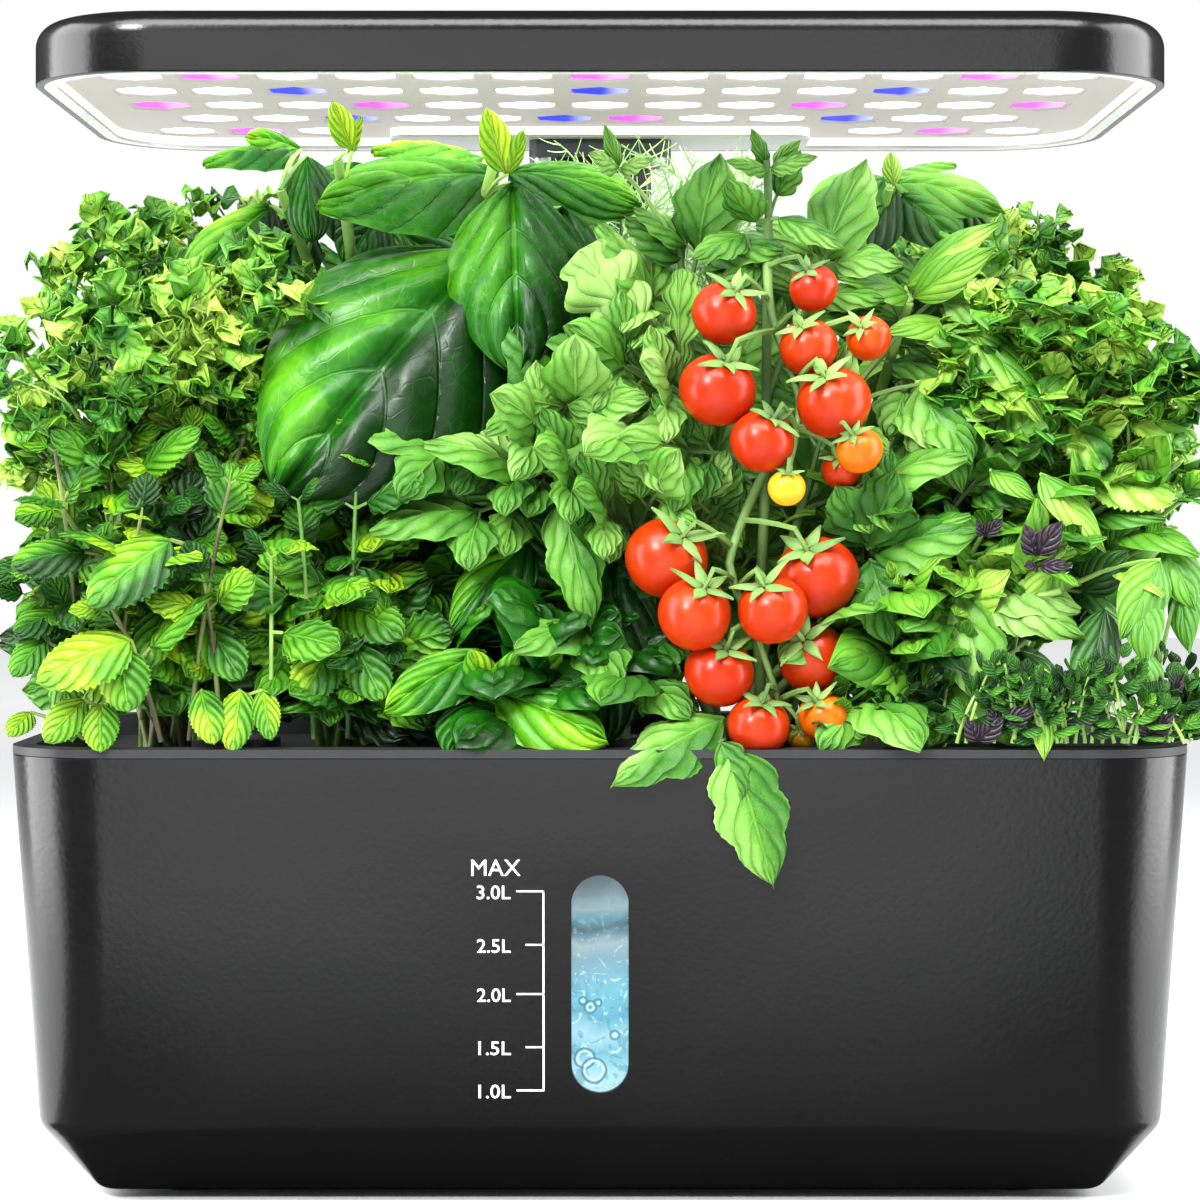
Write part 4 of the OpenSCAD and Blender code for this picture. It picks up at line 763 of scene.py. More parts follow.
def make_lamp():
    e, t = LAMP_EDGE, LAMP_WALL
    outer = arc((e, LAMP_H - e), e, 90, 0, 12)
    inner = arc((e, LAMP_H - e), e - t, 0, 90, 8)
    profile = outer + [(0.0, 0.3), (0.3, 0.0), (t, 0.0)] + inner
    bm = swept_shell(LAMP_W, LAMP_D, LAMP_R, profile, 24)
    to_metres(bm, (0, LAMP_Y, LAMP_Z))
    blank = loose_object(bm, "lamp_blank")
    cutters = []
    buttons = [(x, BUTTON_R) for x in (-BUTTON_X, BUTTON_X)]
    pipes = [(x, PIPE_R) for x in (-PIPE_X, 0, PIPE_X)]
    for x, r in buttons + pipes:
        bm = bmesh.new()
        bmesh.ops.create_cone(bm, cap_ends=True, segments=48, radius1=r * MM, radius2=r * MM, depth=8 * MM)
        bmesh.ops.translate(bm, verts=bm.verts, vec=(x * MM, MAST_Y * MM, (LAMP_Z + LAMP_H) * MM))
        cutters.append(loose_object(bm, "button_cutter"))
    bm = carve(blank, cutters)
    drop(blank)
    finish_piece("lamp_hood", mesh_from(bm, "lamp_hood", 25.0), "lamp", ["lamp_housing"],
        [LAMP_SKIN])

HEX_PITCH_X, HEX_PITCH_Y, HEX_FRONT = 19.5, 27.2, -51.0
# A lens: half its width, its corners' reach, its map's size, and its face and back over the lamp's underside
LENS_HALF, LENS_SHOULDER, LENS_TIP, LENS_MAP = 7.4, 5.24, 9.19, (15.0, 18.6)
LENS_FACE, LENS_BACK, LENS_RIM, LENS_CHAMFER, LENS_RIDGE = 3.5, 5.9, 0.7, 0.5, 0.45
# Openings as column and row; the fourth row stands half a pitch aside
RED_HEXES = [(-5, 0), (0, 0), (5, 0), (-6, 2), (-3, 2), (3, 2), (6, 2), (0.5, 3), (-5, 4), (5, 4)]
BLUE_HEXES = [(-4, 1), (0, 1), (4, 1), (-3.5, 3), (-0.5, 3), (3.5, 3)]
ALL_HEXES = [(i, j) for j in range(3) for i in range(-6, 7)] + [(i + 0.5, 3) for i in range(-6, 6)]
ALL_HEXES += [(s * i, 4) for i in (4, 5, 6) for s in (-1, 1)]

def make_lenses(name, cells, node, finish):
    """Lenses with a chamfered rim and a low ridge, one for each opening of the grille."""
    bm = bmesh.new()
    uv = bm.loops.layers.uv.new("UVMap")
    outline = [(LENS_HALF, -LENS_SHOULDER), (LENS_HALF, LENS_SHOULDER), (0, LENS_TIP)]
    outline += [(-x, -y) for x, y in outline]
    for i, j in cells:
        cx, cy = i * HEX_PITCH_X, HEX_FRONT + j * HEX_PITCH_Y
        verts = bmesh.ops.create_circle(bm, cap_ends=True, segments=6, radius=1.0)["verts"]
        face = verts[0].link_faces[0]
        for vert, (x, y) in zip(verts, outline):
            vert.co = (cx + x, cy + y, LAMP_Z + LENS_BACK)
        out = bmesh.ops.extrude_discrete_faces(bm, faces=[face])["faces"][0]
        bmesh.ops.translate(bm, verts=out.verts, vec=(0, 0, LENS_FACE - LENS_BACK + LENS_CHAMFER))
        bmesh.ops.inset_individual(bm, faces=[out], thickness=LENS_RIM, depth=0.0)
        bmesh.ops.translate(bm, verts=out.verts, vec=(0, 0, -LENS_RIDGE))
        bmesh.ops.poke(bm, faces=[out], offset=0.0)
    for face in bm.faces:
        for loop in face.loops:
            x, y = loop.vert.co.x, loop.vert.co.y
            j = round((face.calc_center_median().y - HEX_FRONT) / HEX_PITCH_Y)
            half = 0.5 if j == 3 else 0.0
            i = round(face.calc_center_median().x / HEX_PITCH_X - half) + half
            across, along = x - i * HEX_PITCH_X, y - HEX_FRONT - j * HEX_PITCH_Y
            loop[uv].uv = (across / LENS_MAP[0] + 0.5, along / LENS_MAP[1] + 0.5)
    bmesh.ops.holes_fill(bm, edges=[e for e in bm.edges if e.is_boundary])
    bmesh.ops.recalc_face_normals(bm, faces=bm.faces)
    to_metres(bm)
    finish_piece(name, mesh_from(bm, name, 10.0), "lamp", [node], [finish])

def make_lamp_lights():
    white = [c for c in ALL_HEXES if c not in RED_HEXES and c not in BLUE_HEXES]
    make_lenses("white_lens_set", white, "white_lenses", LENS_WHITE)
    make_lenses("red_lens_set", RED_HEXES, "red_lenses", LENS_RED)
    make_lenses("blue_lens_set", BLUE_HEXES, "blue_lenses", LENS_BLUE)

def dress_frame():
    dress(PANE, "gauge_window")
    dress(RUBBER, "window_gasket", "feet")
    dress(DECK_SKIN, "grow_deck")
    dress(FLAP_SKIN, "fill_flap")
    dress(STEEL, "flap_pin", "pump_shaft", "socket_screws", "head_screws")
    dress(POD_SKIN, *[f"pod_basket_{k}" for k in range(1, 11)])
    dress(SPONGE, "grow_sponges")
    dress(PUMP_SKIN, "pump_body", "pump_cover")
    dress(WHITE_SKIN, "pump_impeller")
    dress(FOAM, "pump_filter")
    dress(TUBE_CLEAR, "outlet_tube")
    dress(LEAD_RUBBER, "pump_lead")
    dress(SOCKET_SKIN, "mast_socket")
    dress(MAST_METAL, "mast_outer", "mast_inner", "mast_head")
    dress(LAMP_SKIN, "lamp_housing")
    dress(FRAME_SKIN, "lamp_frame")
    dress(GUIDE_GLOW, "light_guide")
    dress(GRILLE_SKIN, "hex_grille")
    dress(BOARD_WHITE, "led_board")
    dress(CHIP, "led_chips")
    dress(SINK_METAL, "heat_sink")
    dress(BOARD_GREEN, "driver_board")
    dress(BUTTON_SKIN, "light_button", "pump_button")
    dress(PIPE_GLOW, "indicator_lenses")
    dress(INLET_SKIN, "dc_inlet")

# ---------- Leaves, stalks and fruit: one work mesh of each kind, bent into place again and again ----------

LEAVES = {}
TUBES = {}
STALK_SLOT = 1

def work_mesh(bm, name, finish=0):
    """Keeps a shape to be placed many times; its rims stay sharp."""
    for face in bm.faces:
        face.smooth = True
        face.material_index = finish
    for edge in bm.edges:
        edge.smooth = len(edge.link_faces) == 2 and edge.calc_face_angle(0.0) < 1.0
    mesh = bpy.data.meshes.new(name)
    bm.to_mesh(mesh)
    bm.free()
    mesh.attributes.new("tone", "FLOAT", "POINT")
    co = np.empty(len(mesh.vertices) * 3)
    mesh.vertices.foreach_get("co", co)
    return mesh, co.reshape(-1, 3)

def keep_leaf(kind, across, along, outline, relief, teeth=0.0, thick=0.012, finish=0, sweep=0.0):
    """A leaf one unit long and wide: x across it, y from its stalk to its tip, z off its face."""
    bm = bmesh.new()
    bm.loops.layers.uv.new("UVMap")
    bmesh.ops.create_grid(bm, x_segments=across, y_segments=along, size=0.5, calc_uvs=True)
    for vert in bm.verts:
        side, way = 2 * vert.co.x, min(max(vert.co.y + 0.5, 0.0), 1.0)
        half = outline(way)
        if abs(side) > 0.99:
            half *= 1 - teeth * (round(way * along) % 2)
        vert.co = (side * half, way, relief(side, way))
    uv = bm.loops.layers.uv.active
    for face in bm.faces:
        for loop in face.loops:
            spot = loop[uv].uv
            spot.y -= sweep * abs(2 * spot.x - 1) ** 1.3
    bmesh.ops.remove_doubles(bm, verts=bm.verts, dist=1e-5)
    bmesh.ops.solidify(bm, geom=bm.faces[:], thickness=thick)
    bmesh.ops.recalc_face_normals(bm, faces=bm.faces)
    LEAVES[kind] = work_mesh(bm, "work_" + kind, finish)

def oval(base, tip):
    """Outline of a leaf: low powers are blunt, high powers pointed."""
    most = base / (base + tip)
    peak = most ** base * (1 - most) ** tip
    return lambda way: 0.5 * way ** base * (1 - way) ** tip / peak

def lobed(base, tip, lobes, depth, saw):
    whole = oval(base, tip)
    def outline(way):
        beat = (way * lobes) % 1.0
        wave = beat if saw else abs(math.sin(math.pi * way * lobes))
        return whole(way) * (1 - depth + depth * wave)
    return outline

def quilt(pairs, slope, depth, bow, groove):
    """Relief of a leaf: cushions between its side veins, a sunk midrib and edges that turn down."""
    def relief(side, way):
        beat = ((way - slope * abs(side) ** 1.3) * pairs + 8.0) % 1.0
        cushion = (1 - abs(2 * beat - 1) ** 2.4) * min(1.0, 5 * abs(side))
        sunk = groove * (1 - min(1.0, abs(side) * 4))
        return depth * cushion * (1 - 0.5 * abs(side)) - bow * side * side - sunk
    return relief

def frill(height, turns):
    """Relief of a curled edge that rises and falls."""
    def relief(side, way):
        late = 1.3 if side > 0 else 0.0
        return height * abs(side) * math.sin(turns * math.pi * way + late) - 0.05 * side * side
    return relief

def make_leaf_kinds():
    keep_leaf("basil_large", 18, 30, oval(0.52, 0.72), quilt(4.0, 0.50, 0.055, 0.10, 0.03), thick=0.006)
    keep_leaf("basil_long", 18, 30, oval(0.50, 0.66), quilt(4.0, 0.95, 0.034, 0.12, 0.02), thick=0.006,
        sweep=0.45)
    keep_leaf("basil", 8, 14, oval(0.52, 0.72), quilt(4.0, 0.50, 0.05, 0.14, 0.03), thick=0.01)
    keep_leaf("smooth_large", 12, 20, oval(0.62, 1.05), quilt(5.0, 0.55, 0.014, 0.10, 0.03), thick=0.007)
    keep_leaf("smooth", 6, 9, oval(0.62, 1.05), quilt(4.0, 0.55, 0.016, 0.12, 0.03))
    keep_leaf("mint_large", 12, 26, oval(0.46, 0.60), quilt(5.0, 0.50, 0.040, 0.06, 0.03), 0.10, 0.008)
    keep_leaf("mint", 4, 10, oval(0.46, 0.60), quilt(4.0, 0.50, 0.05, 0.08, 0.03), 0.16)
    keep_leaf("tomato_large", 12, 32, lobed(0.50, 0.85, 3.0, 0.20, False),
        quilt(4.0, 0.55, 0.035, 0.10, 0.035), 0.03, 0.007)
    keep_leaf("tomato", 6, 13, lobed(0.50, 0.85, 3.0, 0.22, False), quilt(4.0, 0.55, 0.04, 0.12, 0.035))
    keep_leaf("oak", 12, 30, lobed(0.95, 0.40, 3.5, 0.40, False), frill(0.04, 6.0), thick=0.007)
    keep_leaf("curly", 3, 7, lobed(0.40, 0.22, 2.0, 0.46, False), frill(0.26, 3.0), 0.0, 0.03)
    keep_leaf("flat", 2, 6, lobed(0.50, 0.30, 2.0, 0.46, False), frill(0.16, 3.0), 0.0, 0.02)
    keep_leaf("round", 4, 5, oval(0.55, 0.5), quilt(2.0, 0.4, 0.02, 0.12, 0.02), thick=0.02)
    keep_leaf("sepal", 4, 8, oval(0.45, 1.2), quilt(1.0, 0.3, 0.0, 0.25, 0.08), thick=0.04, finish=STALK_SLOT)

def keep_tube(name, sides, rings):
    """A stalk one unit long along z, closed at both ends, with its rings along it."""
    bm = bmesh.new()
    bmesh.ops.create_circle(bm, cap_ends=True, segments=sides, radius=1.0)
    top = bm.faces[:]
    for _ in range(rings):
        out = bmesh.ops.extrude_face_region(bm, geom=top)["geom"]
        top = [f for f in out if isinstance(f, bmesh.types.BMFace)]
        bmesh.ops.translate(bm, verts=new_verts(out), vec=(0, 0, 1 / rings))
    bmesh.ops.recalc_face_normals(bm, faces=bm.faces)
    TUBES[name] = work_mesh(bm, "work_" + name, STALK_SLOT)

def make_tube_kinds():
    keep_tube("thread", 3, 3)
    keep_tube("petiole", 5, 4)
    keep_tube("stem", 8, 14)

def unit(vector):
    return vector / max(np.linalg.norm(vector), 1e-9)

def bow_path(start, end, lift, count=12):
    """Points of a soft arc between two places; lift is how far its middle is pulled away."""
    start, end = np.array(start, float), np.array(end, float)
    middle = (start + end) / 2 + np.array(lift, float)
    t = np.linspace(0, 1, count)[:, None]
    return (1 - t) ** 2 * start + 2 * t * (1 - t) * middle + t * t * end

class Growth:
    """One plant in the making: its stalks and leaves in one mesh, in millimetres until they are placed."""

    def __init__(self, name, pod, low, high, seed):
        self.name, self.low, self.high = name, np.array(low, float), np.array(high, float)
        self.foot = np.array((*PODS[pod], SPONGE_Z))
        self.dice = random.Random(seed)
        self.stems = []
        self.bm = bmesh.new()
        self.bm.loops.layers.uv.new("UVMap")
        self.bm.verts.layers.float.new("tone")

    def place(self, work, spots, tone):
        work.vertices.foreach_set("co", np.ascontiguousarray(spots * MM).ravel())
        work.attributes["tone"].data.foreach_set("value", np.clip(tone, -0.2, 1.2).astype(np.float32))
        self.bm.from_mesh(work)

    def leaf(self, kind, base, tip, width, face=(0, -0.5, 0.85), droop=0.6, tone=(0.5, 0.0, 0.0), roll=0.0,
             cup=0.0, twist=0.0):
        """A leaf from base to tip, bent lengthwise; tone is its shade and how it turns along and across; on
        many leaves these are painted light, one end or half lit and the other shaded.
        """
        work, co = LEAVES[kind]
        base, tip = np.array(base, float), np.array(tip, float)
        length = np.linalg.norm(tip - base)
        ahead = (tip - base) / length
        side = unit(np.cross(ahead, face))
        up = np.cross(side, ahead)
        c, s = math.cos(roll), math.sin(roll)
        side, up = side * c + up * s, up * c - side * s
        droop = max(droop, 0.05)
        way = co[:, 1]
        bend = droop / 2 - droop * way
        scale = length * droop / (2 * math.sin(droop / 2))
        reach = (math.sin(droop / 2) - np.sin(bend)) / droop * scale
        rise = (np.cos(bend) - math.cos(droop / 2)) / droop * scale
        off = (co[:, 2] - 4 * cup * co[:, 0] ** 2) * width
        across = co[:, 0] * width
        turn = twist * way
        across, off = across * np.cos(turn) - off * np.sin(turn), across * np.sin(turn) + off * np.cos(turn)
        spots = base + np.outer(reach - np.sin(bend) * off, ahead)
        spots = spots + np.outer(rise + np.cos(bend) * off, up) + np.outer(across, side)
        self.place(work, spots, tone[0] + tone[1] * (way - 0.5) + tone[2] * np.clip(8 * co[:, 0], -1, 1))

    def stalk(self, kind, path, thick, thin, tone=0.5, wobble=0.0):
        """A round stalk along the points of a path."""
        work, co = TUBES[kind]
        path = np.array(path, float)
        place = co[:, 2] * (len(path) - 1)
        spots = np.stack([np.interp(place, np.arange(len(path)), path[:, k]) for k in range(3)], 1)
        slope = np.gradient(path, axis=0)
        ahead = np.stack([np.interp(place, np.arange(len(path)), slope[:, k]) for k in range(3)], 1)
        ahead /= np.maximum(np.linalg.norm(ahead, axis=1, keepdims=True), 1e-9)
        run = unit(path[-1] - path[0])
        guide = np.eye(3)[int(np.argmin(np.abs(run)))]
        side = np.cross(ahead, guide)
        side /= np.maximum(np.linalg.norm(side, axis=1, keepdims=True), 1e-9)
        up = np.cross(side, ahead)
        radius = thick + (thin - thick) * co[:, 2] + wobble * np.sin(co[:, 2] * 40)
        spots = spots - side * (co[:, 0] * radius)[:, None] + up * (co[:, 1] * radius)[:, None]
        self.place(work, spots, np.full(len(co), tone))

    def stem(self, end, thick=1.3, thin=0.7, tone=0.45, spread=0.45, foot=None):
        """A main stalk from the pod to a point; leaves join it."""
        if foot is None:
            start = self.foot + (self.dice.uniform(-7, 7), self.dice.uniform(-7, 7), 0)
        else:
            start = np.array(foot, float)
        end = np.array(end, float)
        rise = (0, 0, 0.12 * abs(end[2] - start[2]))
        lift = (end - start) * (-0.25 * spread, -0.25 * spread, 0.0) + rise
        path = bow_path(start, end, lift, 15)
        if start[0] < FLAP_LEFT:
            swept = (path[:, 1] > FLAP_FRONT) & (path[:, 1] < FLAP_BACK)
            room = FLAP_LEFT - 2 + 3 * np.maximum(path[:, 2] - FLAP_TOP + 1, 0)
            path[swept, 0] = np.minimum(path[swept, 0], room[swept])
        self.stalk("stem", path, thick, thin, tone)
        self.stems.append(path)
        return path

    def join(self, base, thick=0.8, tone=0.5):
        """A leaf stalk from the nearest main stalk to a leaf's base."""
        base = np.array(base, float)
        best, far = None, 1e9
        for path in self.stems:
            gap = np.linalg.norm(path - base, axis=1) + np.maximum(path[:, 2] - base[2] + 4, 0) * 3
            k = int(np.argmin(gap))
            if gap[k] < far:
                best, far = path[k], gap[k]
        if best is not None and np.linalg.norm(best - base) > 1.0:
            reach = np.linalg.norm(best - base)
            path = bow_path(best, base, (0, 0, 0.12 * reach), 6)
            self.stalk("petiole" if reach < 60 else "stem", path, thick * 1.1, thick * 0.8, tone)

    def clear(self, *spots):
        """Whether points stay in the plant's room, off the deck and out of the open flap's way."""
        for spot in spots:
            if (spot < self.low).any() or (spot > self.high).any():
                return False
            over_flap = FLAP_LEFT < spot[0] < FLAP_RIGHT and FLAP_FRONT < spot[1] < FLAP_BACK
            if over_flap and spot[2] < FLAP_TOP:
                return False
            if abs(spot[0]) < BRACKET_HALF and spot[1] > BRACKET_FRONT and spot[2] > BRACKET_UNDER:
                return False
        return True

    def shoot(self, kind, path, pairs, size, ratio, tone=0.5, spread=0.12, step=0.13, droop=0.7,
              lean=(0.0, -0.35, 0.0), open_low=80, open_top=25, stalk=0.22, top=0.35, nod=0.0):
        """Crossed pairs of leaves down from the end of a stalk, small at its top."""
        path = np.array(path, float)
        count = len(path) - 1
        phase = self.dice.uniform(0, math.pi)
        for k in range(pairs):
            at = max(0.02, 1.0 - step * k * (1 + 0.25 * k / max(pairs, 1)))
            low = int(at * count - 1e-6)
            node = path[low] + (path[min(low + 1, count)] - path[low]) * (at * count - low)
            axis = unit(path[min(low + 1, count)] - path[max(low - 1, 0)])
            axis = unit(axis + nod * np.array((0.0, -1.0, 0.15)))
            side = unit(np.cross(axis, (0.31, 0.93, 0.2)))
            fore = np.cross(axis, side)
            grown = min(1.0, top + (1 - top) * k / max(1.0, 0.55 * pairs))
            opened = math.radians(open_top + (open_low - open_top) * min(1.0, k / max(1, pairs - 1)))
            for half in (0, 1):
                around = phase + k * math.pi / 2 + half * math.pi + self.dice.uniform(-0.3, 0.3)
                out = side * math.cos(around) + fore * math.sin(around)
                tilt = opened + self.dice.uniform(-0.25, 0.2)
                ahead = unit(out * math.sin(tilt) + axis * math.cos(tilt) + np.array(lean) * 0.6)
                long = size * grown * self.dice.uniform(0.82, 1.12)
                base = node + ahead * long * stalk
                tip = base + ahead * long - np.array((0, 0, long * 0.22 * droop))
                if not self.clear(base, tip, (base + tip) / 2):
                    continue
                face = unit(axis * 0.7 + np.array((0, -0.65, 0.45)) + out * -0.10)
                if stalk * long > 1.2:
                    self.stalk("petiole" if long > 14 else "thread",
                        [node, node + ahead * long * stalk * 0.5, base],
                        0.02 * long + 0.12, 0.016 * long + 0.1, tone + 0.15)
                shade = tone + self.dice.gauss(0, spread) + 0.22 * (1 - grown)
                self.leaf(kind, base, tip, long * ratio * self.dice.uniform(0.88, 1.1), face,
                    droop * self.dice.uniform(0.6, 1.3),
                    (shade, self.dice.uniform(-0.1, 0.2), self.dice.uniform(-0.14, 0.14)),
                    self.dice.uniform(-0.35, 0.35), self.dice.uniform(0.0, 0.1), self.dice.uniform(-0.4, 0.4))

    def heroes(self, rows):
        """The leaves that stand out, each at its own place."""
        for kind, base, tip, width, face, droop, tone, along, across, *cup in rows:
            self.join(base, 0.45 + 0.012 * width, tone + 0.2)
            cup = cup[0] if cup else USUAL_CUP
            self.leaf(kind, base, tip, width, FACES[face], droop, (tone, along, across), 0.0, cup)

    def done(self, node, finishes):
        mesh = bpy.data.meshes.new(self.name)
        self.bm.to_mesh(mesh)
        self.bm.free()
        return finish_piece(self.name, mesh, "deck", [node] if node else (), finishes)

FACES = {"up": (0, -0.35, 1), "half": (0, -0.8, 0.65), "front": (0, -1, 0.25), "left": (-0.6, -0.8, 0.4),
    "right": (0.6, -0.8, 0.4), "low": (0, -1, -0.3)}

def leaf_finish(name, colors, rough, pairs, slope, net, vein_light, puff, patches, **sockets):
    """A leaf's skin: shade by its tone, veins from its own map and cushions between them, the cushions
    lighter and the grooves darker as painted shade.
    """
    finish, tree, shader = new_finish(name, colors[1], rough, **sockets)
    veins = place_group(tree, VEINS, Map=own_map(tree), Pairs=pairs, Slope=slope, Net=net)
    # The veins, the edge line and the cushions lift the shade and leave the grooves darker: pale veins, a
    # painted highlight on the rim and painted shade in the creases.
    veins_and_quilt_shade = math_node(tree, "MULTIPLY_ADD", veins.outputs["Puff"], 0.45, veins.outputs["Vein"])
    tone = place_group(tree, TONE, Where=object_place(tree), Tone=own_value(tree, "tone"), Patches=patches,
        Vein=veins_and_quilt_shade, Vein_light=vein_light)
    stops = list(zip((0.0, 0.32, 0.66, 1.0), colors))
    tree.links.new(ramp_node(tree, tone.outputs["Shade"], stops), shader.inputs["Base Color"])
    tree.links.new(math_node(tree, "MULTIPLY_ADD", tone.outputs["Speckle"], 0.22, rough - 0.11),
        shader.inputs["Roughness"])
    height = math_node(tree, "MULTIPLY_ADD", tone.outputs["Speckle"], 0.10, veins.outputs["Puff"])
    add_bump(tree, shader, height, 0.9, puff)
    return finish

def stalk_finish(name, dark, light, rough=0.5):
    finish, tree, shader = new_finish(name, dark, rough)
    tone = place_group(tree, TONE, Where=object_place(tree), Tone=own_value(tree, "tone"), Patches=0.25,
        Vein_light=0.0)
    tree.links.new(ramp_node(tree, tone.outputs["Shade"], [(0.1, dark), (0.9, light)]),
        shader.inputs["Base Color"])
    add_bump(tree, shader, tone.outputs["Speckle"], 0.5, 0.0003)
    return finish

def fruit_finish():
    finish, tree, shader = new_finish("tomato_skin", (0.8, 0.05, 0.01), 0.30, Specular_IOR_Level=0.24,
        Coat_Weight=0.10, Coat_Roughness=0.14)
    tone = place_group(tree, TONE, Where=object_place(tree), Tone=own_value(tree, "tone"), Patches=0.06,
        Vein_light=0.0)
    stops = [(0.0, (0.36, 0.016, 0.0005)), (0.3, (0.48, 0.040, 0.001)), (0.6, (0.62, 0.125, 0.002)),
        (1.0, (0.72, 0.36, 0.012))]
    tree.links.new(ramp_node(tree, tone.outputs["Shade"], stops), shader.inputs["Base Color"])
    return finish

BASIL_LEAF = leaf_finish("basil_leaf",
    [(0.0016, 0.0218, 0.0008), (0.0104, 0.109, 0.0024), (0.08, 0.302, 0.0048), (0.352, 0.554, 0.012)],
    0.34, 4.0, 0.50, 14.0, 0.15, 0.0008, 0.11, Specular_IOR_Level=0.30)
SMOOTH_LEAF = leaf_finish("smooth_leaf",
    [(0.00595, 0.0387, 0.004), (0.034, 0.163, 0.0096), (0.111, 0.318, 0.02), (0.306, 0.516, 0.064)],
    0.38, 4.0, 0.55, 18.0, 0.12, 0.0004, 0.12, Specular_IOR_Level=0.34)
MINT_LEAF = leaf_finish("mint_leaf",
    [(0.00132, 0.0163, 0.0007), (0.0106, 0.0888, 0.0021), (0.066, 0.259, 0.0042), (0.277, 0.488, 0.0105)],
    0.40, 5.0, 0.50, 26.0, 0.24, 0.0008, 0.20, Specular_IOR_Level=0.36)
TOMATO_LEAF = leaf_finish("tomato_leaf",
    [(0.0048, 0.0385, 0.0028), (0.0264, 0.133, 0.0084), (0.096, 0.28, 0.0252), (0.24, 0.434, 0.098)],
    0.44, 4.0, 0.55, 20.0, 0.27, 0.0006, 0.12, Specular_IOR_Level=0.30)
PARSLEY_LEAF = leaf_finish("parsley_leaf",
    [(0.00222, 0.0281, 0.002), (0.0192, 0.133, 0.006), (0.104, 0.335, 0.015), (0.37, 0.593, 0.07)],
    0.38, 3.0, 0.5, 16.0, 0.22, 0.0006, 0.26, Specular_IOR_Level=0.42)
PURPLE_LEAF = leaf_finish("purple_leaf",
    [(0.008, 0.004, 0.008), (0.022, 0.010, 0.020), (0.050, 0.024, 0.040), (0.11, 0.06, 0.08)],
    0.36, 4.0, 0.4, 20.0, 0.10, 0.0004, 0.15, Specular_IOR_Level=0.5)
STALK = stalk_finish("green_stalk", (0.07, 0.20, 0.025), (0.34, 0.55, 0.12))
MINT_STALK = stalk_finish("mint_stalk", (0.055, 0.045, 0.018), (0.24, 0.36, 0.07))
DILL_THREAD = stalk_finish("dill_thread", (0.10, 0.28, 0.06), (0.45, 0.66, 0.26))
TOMATO_STALK = stalk_finish("tomato_stalk", (0.035, 0.10, 0.014), (0.20, 0.36, 0.08), 0.6)
FRUIT_SKIN = fruit_finish()

